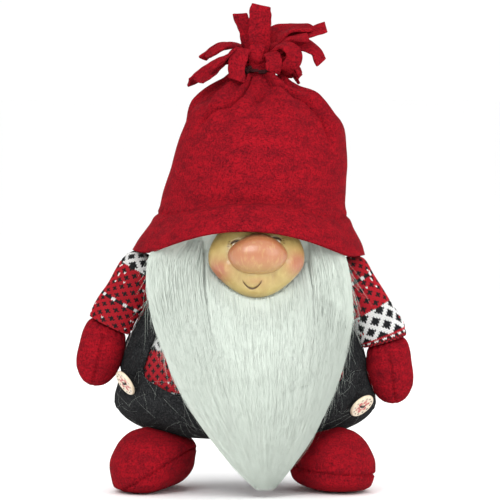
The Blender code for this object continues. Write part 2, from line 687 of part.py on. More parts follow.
# ---------------------------------------------------------------- hat
def hat_shape(co):
    """Leans the crown, and moves, lifts and rolls the brim."""
    height = co.z
    low = 1 - smooth_step(BRIM_LOW, BRIM_HIGH, height)
    radius = math.hypot(co.x, co.y)
    to_front = max(0.0, -co.y / radius) if radius > 1e-6 else 0.0
    edge = math.cos(BRIM_ARCH_ANGLE)
    arch = max(0.0, (to_front - edge) / (1 - edge)) ** 1.5
    x = co.x + lean_at(height)
    y = co.y * HAT_DEPTH - BRIM_FORWARD * low
    return Vector((x, y, height + BRIM_ARCH * arch * low - BRIM_ROLL * x * low))


def make_hat():
    crown = add_object("hat_crown", reshaped(turned(HAT_OUTLINE, HAT_SIDES), hat_shape), felt_red, figure)
    smooth_shading(add_wall(crown, FELT))

    hem_outline = [point for point in HAT_OUTLINE if point[1] <= HEM_HEIGHT]
    hem = swollen(turned(hem_outline, HAT_SIDES), -FELT - 2 * GAP)
    hem = add_object("hat_hem", reshaped(hem, hat_shape), felt_red, figure)
    smooth_shading(add_wall(hem, HEM))

    fill_top = TIE_HEIGHT - 0.0065
    fill_outline = [point for point in HAT_OUTLINE if HAT_FILL_BASE < point[1] < fill_top]
    fill_outline.append((between([(z, r) for r, z in HAT_OUTLINE], HAT_FILL_BASE), HAT_FILL_BASE))
    fill = swollen(turned(fill_outline, HAT_SIDES), -FELT - 4 * GAP)
    reshaped(fill, lambda co: Vector((co.x, co.y, max(HAT_FILL_BASE, co.z))))
    fill = filled(reshaped(fill, hat_shape))
    smooth_shading(add_object("hat_stuffing", fill, fibre, figure))

    bpy.ops.mesh.primitive_torus_add(
        major_radius=HAT_NECK_RADIUS + TIE_RADIUS + 2 * GAP, minor_radius=TIE_RADIUS, major_segments=24,
        minor_segments=8,
    )
    tie = bpy.context.object
    tie.name = tie.data.name = "hat_tie"
    for owner in list(tie.users_collection):
        owner.objects.unlink(tie)
    parts.objects.link(tie)
    tie.parent = figure
    tie.location = (lean_at(TIE_HEIGHT), 0.0, TIE_HEIGHT)
    tie.data.materials.append(cord_dark)
    smooth_shading(tie)


def make_fringe():
    """Strips of felt that stand and droop out of the hat's tied neck."""
    middle = Vector((lean_at(FRINGE_ROOT), 0.0, FRINGE_ROOT))
    for name, (degrees, ring, root_width, tip_width, path) in FRINGE.items():
        angle = math.radians(degrees)
        out = Vector((math.cos(angle), math.sin(angle), 0.0))
        side = Vector((-math.sin(angle), math.cos(angle), 0.0))
        up = Vector((0.0, 0.0, 1.0))
        root = middle + out * ring
        points = [root, *(root + out * a + up * b + side * c for a, b, c in path)]
        line = curve_through(points)
        shape = bmesh.new()
        bmesh.ops.create_grid(shape, x_segments=1, y_segments=len(line) - 1, size=0.5)
        for vertex in shape.verts:
            along = vertex.co.y + 0.5
            index = round(along * (len(line) - 1))
            width = root_width + (tip_width - root_width) * smooth_step(0.0, 0.6, along)
            vertex.co = line[index] + side * (vertex.co.x * width)
        mesh = bpy.data.meshes.new(name)
        shape.to_mesh(mesh)
        shape.free()
        strip = add_object(f"fringe_{name}", mesh, felt_red, figure)
        wall = strip.modifiers.new("Wall", "SOLIDIFY")
        wall.thickness = FRINGE_FELT
        wall.offset = 0.0
        smooth_shading(strip)


# ---------------------------------------------------------------- arms
def arm_line(distance, side_name):
    """(distance out, distance up, lean) of the arm's middle line, down the arm from the joint."""
    start, stop = WRIST_BEND
    hand = HAND_LEANS[side_name]
    steps = 24
    out = up = 0.0
    for step in range(steps):
        at = distance * (step + 0.5) / steps
        lean = ARM_LEAN + (hand - ARM_LEAN) * smooth_step(start, stop, at)
        out += math.sin(lean) * distance / steps
        up -= math.cos(lean) * distance / steps
    return out, up, ARM_LEAN + (hand - ARM_LEAN) * smooth_step(start, stop, distance)


def hung(mesh, sign, side_name):
    """A piece made along +Z as distance down the arm, bent and leant as the arm hangs."""

    def place(co):
        out, up, lean = arm_line(co.z, side_name)
        return Vector((sign * (out + co.x * math.cos(lean)), co.y, up + co.x * math.sin(lean)))

    return facing_out(reshaped(mesh, place))


def shoulder_place(sign, side_name):
    """Where an arm's joint is: as close to the sack as lets the whole arm hang free of it."""
    height = NECK_HEIGHT - SHOULDER_DROPS[side_name] - ARM_RADIUS
    radii = [(down, radius) for radius, down in [*SLEEVE_OUTLINE[4:], *MITTEN_OUTLINE[1:]]]
    reach = SLEEVE_LENGTH + 0.8 * MITTEN_LENGTH
    nearest = []
    for step in range(25):
        distance = reach * step / 24
        out, up, lean = arm_line(distance, side_name)
        room = (between(radii, distance) + ARM_REST_GAP) / math.cos(lean)
        worn = SEAM if height + up < BIB_EDGE + STRAP_WIDTH else 0.0
        nearest.append(body_side(height + up, SHOULDER_FORWARD, worn) + room - out)
    return Vector((sign * max(nearest), -SHOULDER_FORWARD, height))


def make_arm(sign, side_name):
    joint = new_empty(f"shoulder_{side_name}", shoulder_place(sign, side_name), figure)
    sleeve_mesh = hung(turned(SLEEVE_OUTLINE, ARM_SIDES), sign, side_name)
    sleeve = add_object(f"sleeve_{side_name}", sleeve_mesh, knit, joint)
    smooth_shading(add_wall(sleeve, KNIT))

    inside = KNIT + 2 * GAP
    fill_outline = [(r, z) for r, z in SLEEVE_OUTLINE if z > KNOT_RADIUS]
    fill_outline.insert(0, (ARM_RADIUS, KNOT_RADIUS + 2 * GAP))
    fill = swollen(turned(fill_outline, ARM_SIDES), -inside)
    low, high = fill_outline[0][1], SLEEVE_LENGTH - GAP
    reshaped(fill, lambda co: Vector((co.x, co.y, min(high, max(low, co.z)))))
    fill = hung(filled(fill), sign, side_name)
    smooth_shading(add_object(f"sleeve_stuffing_{side_name}", fill, fibre, joint))

    mitten_mesh = hung(turned(MITTEN_OUTLINE, ARM_SIDES), sign, side_name)
    mitten = add_object(f"mitten_{side_name}", mitten_mesh, felt_red, joint)
    smooth_shading(add_wall(mitten, FELT))

    hand = swollen(turned(MITTEN_OUTLINE, ARM_SIDES), -FELT - 2 * GAP)
    wrist = SLEEVE_LENGTH + 2 * GAP
    reshaped(hand, lambda co: Vector((co.x, co.y, max(wrist, co.z))))
    hand = hung(filled(hand), sign, side_name)
    smooth_shading(add_object(f"mitten_stuffing_{side_name}", hand, fibre, joint))

    knot = ellipsoid([KNOT_RADIUS] * 3, (0, 0, 0), 12, 8)
    smooth_shading(add_object(f"shoulder_knot_{side_name}", facing_out(knot), cotton, joint))


# ---------------------------------------------------------------- boots
def boot_surface(outline, inwards=0.0):
    """A boot-shaped surface from (share, height) points, moved inwards by a distance."""
    mesh = turned([(share * BOOT_HALF_WIDTH, height) for share, height in outline], BOOT_SIDES)
    swollen(mesh, -inwards)
    stretch = (BOOT_HALF_LENGTH - inwards) / (BOOT_HALF_WIDTH - inwards)
    return reshaped(mesh, lambda co: Vector((co.x, co.y * stretch, co.z)))


def make_boot(sign, side_name):
    centre = (BOOT_SPREAD[side_name], -BOOT_FORWARD, 0.0)
    place = new_empty(f"boot_{side_name}", centre, figure)
    place.rotation_euler = (0, 0, sign * BOOT_TURN)

    upper = add_object(f"boot_upper_{side_name}", boot_surface(BOOT_UPPER_OUTLINE), felt_red, place)
    add_wall(upper, FELT)
    smooth_shading(boolean(upper, envelope, "DIFFERENCE"))

    sole = add_object(f"boot_sole_{side_name}", boot_surface(BOOT_SOLE_OUTLINE), felt_red, place)
    smooth_shading(add_wall(sole, FELT))

    insole_base = FELT + 2 * GAP
    insole = bmesh.new()
    bmesh.ops.create_cone(
        insole, cap_ends=True, segments=BOOT_SIDES, radius1=1.0, radius2=1.0, depth=INSOLE
    )
    insole_mesh = bpy.data.meshes.new("insole")
    insole.to_mesh(insole_mesh)
    insole.free()
    half_x, half_y = INSOLE_SHARE * BOOT_HALF_WIDTH, INSOLE_SHARE * BOOT_HALF_LENGTH
    reshaped(
        insole_mesh,
        lambda co: Vector((co.x * half_x, co.y * half_y, co.z + insole_base + INSOLE / 2)),
    )
    add_object(f"boot_insole_{side_name}", insole_mesh, cardboard, place)

    fill_base = insole_base + INSOLE + GAP
    inside = FELT + 2 * GAP
    fill_outline = [*BOOT_UPPER_OUTLINE[:-1], (0.93, BOOT_SEAM), (0.86, fill_base)]
    fill = boot_surface(fill_outline, inwards=inside)
    reshaped(fill, lambda co: Vector((co.x, co.y, max(fill_base, co.z))))
    fill = add_object(f"boot_stuffing_{side_name}", filled(fill), fibre, place)
    smooth_shading(boolean(fill, envelope, "DIFFERENCE"))


def centre_on_origin():
    """Moves the whole figure so that the origin is under the middle of its outer box."""
    bpy.context.view_layer.update()
    graph = bpy.context.evaluated_depsgraph_get()
    corners = [
        obj.evaluated_get(graph).matrix_world @ Vector(corner)
        for obj in parts.objects
        if obj.type == "MESH"
        for corner in obj.evaluated_get(graph).bound_box
    ]
    low = [min(c[axis] for c in corners) for axis in range(3)]
    high = [max(c[axis] for c in corners) for axis in range(3)]
    figure.location = (-(low[0] + high[0]) / 2, -(low[1] + high[1]) / 2, -low[2])
    bpy.context.view_layer.update()
    print("figure placed at", [round(x, 5) for x in figure.location])
    for name, sign in (("left", -1), ("right", 1)):
        world = figure.location + shoulder_place(sign, name)
        print("shoulder joint", name, [round(x, 5) for x in world])


# ---------------------------------------------------------------- the whole figure
clear_scene()
parts = new_collection("tomte_gnome")
cutters = new_collection("cutters", hidden=True)

felt_red = new_material("red_felt", (0.40, 0.022, 0.035), 0.95)
wool = new_material("grey_wool", (0.045, 0.048, 0.052), 0.95)
knit = new_material("patterned_knit", (0.38, 0.030, 0.045), 0.9)
fur = new_material("white_fur", (0.80, 0.84, 0.80), 0.7)
resin = new_material("painted_resin", (0.62, 0.46, 0.22), 0.3)
wood = new_material("painted_wood", (0.80, 0.68, 0.50), 0.5)
cotton = new_material("white_cotton", (0.75, 0.73, 0.68), 0.9)
fibre = new_material("fibre_filling", (0.85, 0.85, 0.83), 0.95)
pellets = new_material("pellet_bag", (0.55, 0.53, 0.48), 0.8)
cardboard = new_material("grey_board", (0.35, 0.30, 0.24), 0.9)
cord_dark = new_material("dark_cord", (0.05, 0.01, 0.012), 0.8)

figure = new_empty("tomte", (0, 0, 0))
envelope = add_object(
    "body_envelope", filled(body_surface(SEAM + 2 * GAP)), parent=figure, cutter=True
)

make_body()
make_overalls()
make_button("left", -1)
make_button("right", 1)
make_head()
make_face()
make_beard()
make_hat()
make_fringe()
for side_sign, side in ((-1, "left"), (1, "right")):
    make_arm(side_sign, side)
    make_boot(side_sign, side)
centre_on_origin()
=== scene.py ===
# %% [markdown]
# # A tomte, a stuffed gnome
# The toy is a pear-shaped knit sack with felt boots, felt mittens, a gathered felt hat, a long fur beard and
# a cast,
# painted face. Every piece below is a surface worked out with numpy, put round the fixed solids of the CAD
# model.
# The frame comes first, because each piece takes its place from it.

# %% Load the frame
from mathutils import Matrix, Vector
import math

import bmesh
import bpy
import numpy as np


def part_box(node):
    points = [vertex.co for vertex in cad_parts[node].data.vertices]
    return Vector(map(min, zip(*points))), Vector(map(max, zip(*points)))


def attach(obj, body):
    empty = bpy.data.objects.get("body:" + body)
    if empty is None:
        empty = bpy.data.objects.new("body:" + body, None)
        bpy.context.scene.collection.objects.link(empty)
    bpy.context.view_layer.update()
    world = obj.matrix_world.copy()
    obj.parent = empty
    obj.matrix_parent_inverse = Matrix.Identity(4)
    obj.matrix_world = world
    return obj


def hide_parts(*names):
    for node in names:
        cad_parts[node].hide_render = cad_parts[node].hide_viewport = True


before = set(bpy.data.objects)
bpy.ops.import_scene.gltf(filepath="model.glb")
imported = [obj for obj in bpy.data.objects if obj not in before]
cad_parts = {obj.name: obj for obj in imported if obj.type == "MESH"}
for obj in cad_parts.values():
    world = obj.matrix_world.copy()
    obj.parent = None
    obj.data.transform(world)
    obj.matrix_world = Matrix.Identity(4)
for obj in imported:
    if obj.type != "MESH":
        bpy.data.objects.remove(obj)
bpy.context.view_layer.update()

knit_low, knit_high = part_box("sweater_body")
MIDDLE = np.array([(knit_low.x + knit_high.x) / 2, (knit_low.y + knit_high.y) / 2, 0.0])
print("the body's middle line in mm:", np.round(1000 * MIDDLE, 2))

# %% [markdown]
# ## The camera, the floor and the light
# The toy stands on a pale floor in soft light. The camera looks slightly down at it from the front, from far
# enough
# away that the shape is hardly drawn out. Two big area lamps stand for studio soft boxes, and a pale world
# fills the
# shadows. The plain view transform keeps the felt as red as it is painted here.

# %% Camera, floor and lamps
CAMERA_DISTANCE = 3.00
CAMERA_ELEVATION = math.radians(2.5)
VIEW_HEIGHT = 0.3665  # how much of the figure's plane the frame holds
AIM = np.array([0.0045, 0.0, 0.1748])


def look_from(thing, place, aim):
    """Turns a camera or lamp at a place so that its -Z axis points at the aim."""
    thing.location = place
    thing.rotation_euler = (Vector(aim) - Vector(place)).to_track_quat("-Z", "Y").to_euler()
    return thing


camera = bpy.data.objects.new("camera", bpy.data.cameras.new("camera"))
camera.data.sensor_width = 36.0
camera.data.lens = 36.0 * CAMERA_DISTANCE / VIEW_HEIGHT
camera_place = AIM + CAMERA_DISTANCE * np.array(
    [0.0, -math.cos(CAMERA_ELEVATION), math.sin(CAMERA_ELEVATION)]
)
look_from(camera, camera_place, AIM)
bpy.context.scene.collection.objects.link(camera)
bpy.context.scene.camera = camera
bpy.context.scene.view_settings.view_transform = "Standard"

for name, place, size, power in (
    ("key_lamp", (-0.45, -1.35, 1.05), 0.9, 13.0),
    ("fill_lamp", (0.95, -1.05, 0.65), 1.1, 8.0),
    ("back_lamp", (0.10, 1.20, 1.30), 1.2, 9.0),
):
    lamp = bpy.data.objects.new(name, bpy.data.lights.new(name, "AREA"))
    lamp.data.size, lamp.data.energy = size, power
    look_from(lamp, place, (0.0, 0.0, 0.16))
    bpy.context.scene.collection.objects.link(lamp)

world = bpy.data.worlds.new("studio")
world.use_nodes = True
world.node_tree.nodes["Background"].inputs["Color"].default_value = (1.0, 1.0, 1.0, 1.0)
world.node_tree.nodes["Background"].inputs["Strength"].default_value = 1.02
bpy.context.scene.world = world
print("camera at", np.round(camera_place, 3), "with a lens of", round(camera.data.lens, 1), "mm")

# %% [markdown]
# ## Tools for shapes
# A grid of points, rows by columns, is all that a surface needs. These few helpers make a smooth line, turn a
# grid
# into a mesh with its own UV map, and hang a finished piece on its body.

# %% Lines and grids
def smooth_line(points, steps=10):
    """A Catmull-Rom curve: each span blends its two ends and their two neighbours with cubic weights."""
    points = np.asarray(points, float)
    ends = np.vstack([2 * points[0] - points[1], points, 2 * points[-1] - points[-2]])
    t = (np.arange(steps) / steps)[None, :, None]
    a, b, c, d = (ends[i : i + len(points) - 1, None, :] for i in range(4))
    curve = 0.5 * (
        2 * b + (c - a) * t + (2 * a - 5 * b + 4 * c - d) * t**2 + (3 * b - a - 3 * c + d) * t**3
    )
    return np.vstack([curve.reshape(-1, points.shape[1]), points[-1]])


def even_line(points, count):
    """The same line with points at equal steps of its length."""
    steps = np.linalg.norm(np.diff(points, axis=0), axis=1)
    length = np.concatenate([[0.0], np.cumsum(steps)])
    at = np.linspace(0.0, length[-1], count)
    return np.stack([np.interp(at, length, column) for column in points.T], axis=1)


def smooth_step(low, high, at):
    """0 below low, 1 above high, and 3t^2 - 2t^3 between."""
    t = np.clip((at - low) / (high - low), 0.0, 1.0)
    return t * t * (3 - 2 * t)


def bell(at, middle, width):
    """exp(-((at - middle) / width)^2): a soft bump."""
    return np.exp(-(((at - middle) / width) ** 2))


def waves(seed, across, along, count=10, reach=(1.0, 4.0)):
    """A smooth uneven field from -1 to 1: a sum of sines with seeded directions and phases."""
    draw = np.random.default_rng(seed)
    across, along = np.broadcast_arrays(across, along)
    total = np.zeros(across.shape)
    for _ in range(count):
        turns = np.round(draw.uniform(-reach[1], reach[1]))
        total += np.sin(turns * across + draw.uniform(*reach) * 6.28 * along + draw.uniform(0, 6.28))
    return total / math.sqrt(count)


# %% Meshes and pieces
def mesh_of(name, points, faces, corner_uv=None):
    """A mesh from arrays of points, faces with equal corner counts, and a UV for each corner."""
    mesh = bpy.data.meshes.new(name)
    mesh.vertices.add(len(points))
    mesh.vertices.foreach_set("co", np.ascontiguousarray(points, np.float32).ravel())
    mesh.loops.add(faces.size)
    mesh.loops.foreach_set("vertex_index", np.ascontiguousarray(faces, np.int32).ravel())
    mesh.polygons.add(len(faces))
    mesh.polygons.foreach_set("loop_start", np.arange(0, faces.size, faces.shape[1], dtype=np.int32))
    if corner_uv is not None:
        layer = mesh.uv_layers.new(name="cloth")
        layer.uv.foreach_set("vector", np.ascontiguousarray(corner_uv, np.float32).ravel())
    mesh.update(calc_edges=True)
    mesh.validate()
    return mesh


def grid_faces(rows, columns, around):
    """The four corners of each cell of a grid, as (row, column) pairs of point numbers."""
    row, column = np.meshgrid(
        np.arange(rows - 1), np.arange(columns if around else columns - 1), indexing="ij"
    )
    row, column = row.ravel(), column.ravel()
    corners = ((row, column), (row, column + 1), (row + 1, column + 1), (row + 1, column))
    faces = np.stack([r * columns + c % columns for r, c in corners], axis=1)
    return faces, corners


def tidy(mesh, merge=1e-6):
    """Merges doubled points, then turns every face outwards."""
    shape = bmesh.new()
    shape.from_mesh(mesh)
    bmesh.ops.remove_doubles(shape, verts=shape.verts, dist=merge)
    bmesh.ops.dissolve_degenerate(shape, edges=shape.edges, dist=1e-7)
    bmesh.ops.recalc_face_normals(shape, faces=shape.faces)
    shape.to_mesh(mesh)
    shape.free()
    return mesh


def turn_outwards(mesh):
    """Turns an open surface so that most of its faces look away from its middle."""
    count = len(mesh.polygons)
    normal, centre = np.zeros(count * 3), np.zeros(count * 3)
    area = np.zeros(count)
    mesh.polygons.foreach_get("normal", normal)
    mesh.polygons.foreach_get("center", centre)
    mesh.polygons.foreach_get("area", area)
    normal, centre = normal.reshape(-1, 3), centre.reshape(-1, 3)
    middle = np.average(centre, axis=0, weights=area)
    if ((normal * (centre - middle)).sum(axis=1) * area).sum() < 0:
        mesh.flip_normals()
    return mesh


def grid_mesh(name, points, uv=None, around=True, merge=1e-6):
    """A mesh of a grid of points. uv has one column more where the grid runs around."""
    rows, columns = points.shape[:2]
    faces, corners = grid_faces(rows, columns, around)
    corner_uv = None
    if uv is not None:
        corner_uv = np.stack([uv[r, c] for r, c in corners], axis=1).reshape(-1, 2)
    mesh = mesh_of(name, points.reshape(-1, 3), faces, corner_uv)
    return turn_outwards(tidy(mesh, merge))


def add_piece(name, mesh, material, body="figure", stands_for=()):
    """Shows a mesh as a piece that rides on a body, and hides the CAD nodes that it stands for."""
    piece = bpy.data.objects.new(name, mesh)
    bpy.context.scene.collection.objects.link(piece)
    mesh.name = name
    mesh.materials.clear()
    mesh.materials.append(material)
    mesh.shade_smooth()
    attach(piece, body)
    if stands_for:
        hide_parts(*stands_for)
    print(f"{name}: {len(mesh.vertices)} points, {len(mesh.polygons)} faces")
    return piece


def add_wall(piece, thickness, edge=0.0, offset=-1.0):
    """Gives a sheet its thickness, and rounds the cut edge."""
    wall = piece.modifiers.new("Wall", "SOLIDIFY")
    wall.thickness, wall.offset, wall.use_even_offset = thickness, offset, False
    if edge:
        rounding = piece.modifiers.new("Rounding", "BEVEL")
        rounding.width, rounding.segments = edge, 2
        rounding.limit_method, rounding.angle_limit = "ANGLE", math.radians(60)
    return piece


def tube(path, radius, sides=8, closed=False):
    """A grid round a path: at each point a ring lies in the plane across the path."""
    path = np.asarray(path, float)
    if closed:
        ahead = np.roll(path, -1, axis=0) - np.roll(path, 1, axis=0)
    else:
        ahead = np.gradient(path, axis=0)
    ahead /= np.linalg.norm(ahead, axis=1, keepdims=True)
    steady = np.array([0.0, 0.0, 1.0]) if abs(ahead[:, 2]).mean() < 0.7 else np.array([1.0, 0.0, 0.0])
    side = np.cross(ahead, steady)
    side /= np.maximum(np.linalg.norm(side, axis=1, keepdims=True), 1e-9)
    over = np.cross(side, ahead)
    turn = np.arange(sides) * 2 * math.pi / sides
    radius = np.broadcast_to(
        radius, (len(path), sides)
    ) if np.ndim(radius) else np.full((len(path), sides), radius)
    ring = side[:, None] * np.cos(turn)[None, :, None] + over[:, None] * np.sin(turn)[None, :, None]
    return path[:, None] + ring * radius[..., None]


def capped(grid):
    """A tube's grid with its two ends drawn to a point."""
    first = np.broadcast_to(grid[:1].mean(axis=1, keepdims=True), grid[:1].shape)
    last = np.broadcast_to(grid[-1:].mean(axis=1, keepdims=True), grid[-1:].shape)
    return np.concatenate([first, grid, last])


# %% [markdown]
# ## Tools for finishes
# A material is a small net of nodes. The class below gives short words for adding a node and joining it. The
# effects
# that several materials share are node groups: felt and wool fibres, the knit's stitches, and plain weave. A
# group
# gives out only masks and heights, and each material decides what colours they choose between.

# %% Wiring words
class Wiring:
    """Adds and joins nodes in one tree."""

    def __init__(self, tree):
        self.tree = tree

    def add(self, kind, inputs=None, **settings):
        node = self.tree.nodes.new("ShaderNode" + kind)
        for key, value in settings.items():
            setattr(node, key, value)
        for key, value in (inputs or {}).items():
            self.give(node.inputs[key], value)
        return node

    def give(self, socket, value):
        if isinstance(value, bpy.types.NodeSocket):
            self.tree.links.new(value, socket)
        else:
            socket.default_value = value

    def maths(self, operation, *values):
        return self.add("Math", dict(enumerate(values)), operation=operation).outputs[0]

    def noise(self, place, scale, detail=2.0, rough=0.5):
        inputs = {"Vector": place, "Scale": scale, "Detail": detail, "Roughness": rough}
        return self.add("TexNoise", inputs).outputs["Fac"]

    def ramp(self, value, low, high):
        inputs = {"Value": value, "From Min": low, "From Max": high}
        return self.add("MapRange", inputs).outputs["Result"]

    def stretch(self, place, scale, turn=(0.0, 0.0, 0.0)):
        inputs = {"Vector": place, "Scale": scale, "Rotation": turn}
        return self.add("Mapping", inputs).outputs["Vector"]

    def mix(self, share, first, second):
        node = self.add("Mix", data_type="RGBA")
        self.give(node.inputs[0], share)
        for socket, colour in ((node.inputs[6], first), (node.inputs[7], second)):
            self.give(socket, (*colour, 1.0) if isinstance(colour, tuple) else colour)
        return node.outputs[2]

    def group(self, tree, inputs):
        node = self.add("Group")
        node.node_tree = tree
        for key, value in inputs.items():
            self.give(node.inputs[key], value)
        return node.outputs


def new_group(name, inputs, outputs):
    """An empty node group with named sockets. Returns its wiring, its inputs and its outputs."""
    tree = bpy.data.node_groups.new(name, "ShaderNodeTree")
    for label, kind in inputs:
        tree.interface.new_socket(label, in_out="INPUT", socket_type=f"NodeSocket{kind}")
    for label in outputs:
        tree.interface.new_socket(label, in_out="OUTPUT", socket_type="NodeSocketFloat")
    start, end = tree.nodes.new("NodeGroupInput"), tree.nodes.new("NodeGroupOutput")
    return tree, Wiring(tree), start.outputs, end.inputs


def new_material(name, roughness, **fixed):
    """A material with a Principled shader whose uniform numbers are set on its own sockets."""
    material = bpy.data.materials.new(name)
    material.use_nodes = True
    wiring = Wiring(material.node_tree)
    shader = material.node_tree.nodes["Principled BSDF"]
    shader.inputs["Roughness"].default_value = roughness
    for label, value in fixed.items():
        shader.inputs[label.replace("_", " ")].default_value = value
    return material, wiring, shader.inputs


def bumped(wiring, height, distance, strength=1.0, normal=None):
    inputs = {"Height": height, "Distance": distance, "Strength": strength}
    if normal is not None:
        inputs["Normal"] = normal
    return wiring.add("Bump", inputs).outputs["Normal"]


def object_place(wiring):
    return wiring.add("TexCoord").outputs["Object"]


# %% [markdown]
# ### Felt and wool fibres
# Felt has no weave. It is a mat of fibres in two or three shades of the same dye, so near by it is heathered:
# soft
# patches, finer specks, and short dark hairs that lie every way. Noise at three sizes gives the patches and
# specks,
# and noise stretched along three directions gives the hairs.

# %% Group: felted fibres
fibre_tree, wiring, given, wanted = new_group(
    "felted_fibres", [("Place", "Vector"), ("Scale", "Float")], ["Mottle", "Hairs", "Height"]
)
flat = wiring.stretch(given["Place"], (0.6, 0.6, 1.5))
patches = wiring.noise(flat, wiring.maths("MULTIPLY", given["Scale"], 0.20), 3.0, 0.60)
specks = wiring.noise(given["Place"], given["Scale"], 4.0, 0.70)
hairs = None
for turn, stretch in (
    ((0.3, 0.5, 0.2), (1.0, 0.14, 0.30)),
    ((0.9, 0.2, 1.3), (0.22, 1.0, 0.16)),
    ((1.8, 1.1, 2.3), (0.18, 0.25, 1.0)),
):
    laid = wiring.stretch(given["Place"], stretch, turn)
    streak = wiring.noise(laid, wiring.maths("MULTIPLY", given["Scale"], 3.4), 2.0, 0.6)
    thin = wiring.ramp(streak, 0.58, 0.72)
    hairs = thin if hairs is None else wiring.maths("MAXIMUM", hairs, thin)
blend = wiring.maths("ADD", wiring.maths("MULTIPLY", patches, 0.42), wiring.maths("MULTIPLY", specks, 0.58))
wiring.give(wanted["Mottle"], wiring.ramp(blend, 0.38, 0.60))
wiring.give(wanted["Hairs"], hairs)
wiring.give(
    wanted["Height"],
    wiring.maths("ADD", wiring.maths("MULTIPLY", specks, 0.7), wiring.maths("MULTIPLY", hairs, 0.3)),
)
print("felted_fibres:", len(fibre_tree.nodes), "nodes")

# %% Felt and wool
def felted(name, light, dark, hair, scale, depth, sheen, tint, gloss=0.12):
    """Felt: the dye's light and dark shades by the mottle, crossed by hairs of a third shade."""
    material, wiring, inputs = new_material(
        name, 0.95, Sheen_Weight=sheen, Sheen_Roughness=0.4, Sheen_Tint=(*tint, 1.0), Specular_IOR_Level=gloss
    )
    fibres = wiring.group(fibre_tree, {"Place": object_place(wiring), "Scale": scale})
    colour = wiring.mix(fibres["Mottle"], dark, light)
    colour = wiring.mix(wiring.maths("MULTIPLY", fibres["Hairs"], 0.8), colour, hair)
    wiring.give(inputs["Base Color"], colour)
    wiring.give(inputs["Normal"], bumped(wiring, fibres["Height"], depth))
    return material


red_felt = felted(
    "red_felt", (0.330, 0.007, 0.014), (0.150, 0.006, 0.011), (0.060, 0.004, 0.008), 620.0, 0.0010, 0.03,
    (0.95, 0.12, 0.16), 0.02,
)
grey_wool = felted(
    "grey_wool", (0.017, 0.018, 0.019), (0.005, 0.0053, 0.006), (0.075, 0.077, 0.078), 640.0, 0.0011, 0.02,
    (0.6, 0.62, 0.66), 0.05,
)
print("felt and wool:", red_felt.name, grey_wool.name)

# %% [markdown]
# ### Knit
# Each stitch of stocking knit looks like a small V. On the UV map one unit across is one column of stitches
# and one
# unit down is one row. Tilting the rows inside each column by the distance from its middle draws the V, and a
# sine
# across each leg gives the yarn its round back. The whole-number part of the two coordinates names the
# stitch, so
# that a pattern can be chosen stitch by stitch, as a knitter does: diamonds, a checker and pairs of stitches.

# %% Group: stitches and their patterns
stitch_tree, wiring, given, wanted = new_group(
    "knit_stitches",
    [("Stitch Map", "Vector")],
    ["Height", "Row", "Small Diamonds", "Large Diamonds", "Specks", "Checks", "Pairs", "Line Pairs"],
)
split = wiring.add("SeparateXYZ", {"Vector": given["Stitch Map"]}).outputs
column = wiring.maths("FLOOR", split["X"])
in_column = wiring.maths("FRACT", split["X"])
tilt = wiring.maths("MULTIPLY", wiring.maths("ABSOLUTE", wiring.maths("SUBTRACT", in_column, 0.5)), 1.6)
slanted = wiring.maths("ADD", split["Y"], tilt)
row = wiring.maths("FLOOR", slanted)
in_row = wiring.maths("FRACT", slanted)
leg = wiring.maths(
    "SINE",
    wiring.maths("MULTIPLY", wiring.maths("FRACT", wiring.maths("MULTIPLY", in_column, 2.0)), math.pi)
)
yarn = wiring.maths("SINE", wiring.maths("MULTIPLY", in_row, math.pi))
wiring.give(
    wanted["Height"], wiring.maths("POWER", wiring.maths("MULTIPLY", leg, yarn), 0.55)
)
wiring.give(wanted["Row"], row)


def diamond(across, down):
    """How many stitches across plus down a stitch is from the middle of its repeat."""
    steps = [
        wiring.maths(
            "ABSOLUTE",
            wiring.maths("SUBTRACT", wiring.maths("FLOORED_MODULO", at, float(every)), every // 2)
        )
        for at, every in ((column, across), (row, down))
    ]
    return wiring.maths("ADD", *steps)


for label, every, size in (("Small Diamonds", 6, 1.5), ("Large Diamonds", 8, 2.5)):
    steps = diamond(every, every)
    corners = wiring.maths("GREATER_THAN", steps, every - size)
    wiring.give(wanted[label], wiring.maths("MAXIMUM", wiring.maths("LESS_THAN", steps, size), corners))
names = wiring.add("CombineXYZ", {"X": column, "Y": row}).outputs["Vector"]
chance = wiring.add("TexWhiteNoise", {"Vector": names}).outputs["Value"]
wiring.give(wanted["Specks"], wiring.maths("GREATER_THAN", chance, 0.984))
both = wiring.maths("ADD", column, row)
wiring.give(wanted["Checks"], wiring.maths("LESS_THAN", wiring.maths("FLOORED_MODULO", both, 2.0), 0.5))
wiring.give(wanted["Pairs"], wiring.maths("LESS_THAN", wiring.maths("FLOORED_MODULO", column, 6.0), 1.5))
wiring.give(wanted["Line Pairs"], wiring.maths("LESS_THAN", wiring.maths("FLOORED_MODULO", column, 4.0), 1.5))
print("knit_stitches:", len(stitch_tree.nodes), "nodes")

# %% Knit with bands
WHITE_YARN, RED_YARN, BLACK_YARN = (0.95, 0.95, 0.93), (0.52, 0.008, 0.020), (0.008, 0.008, 0.010)


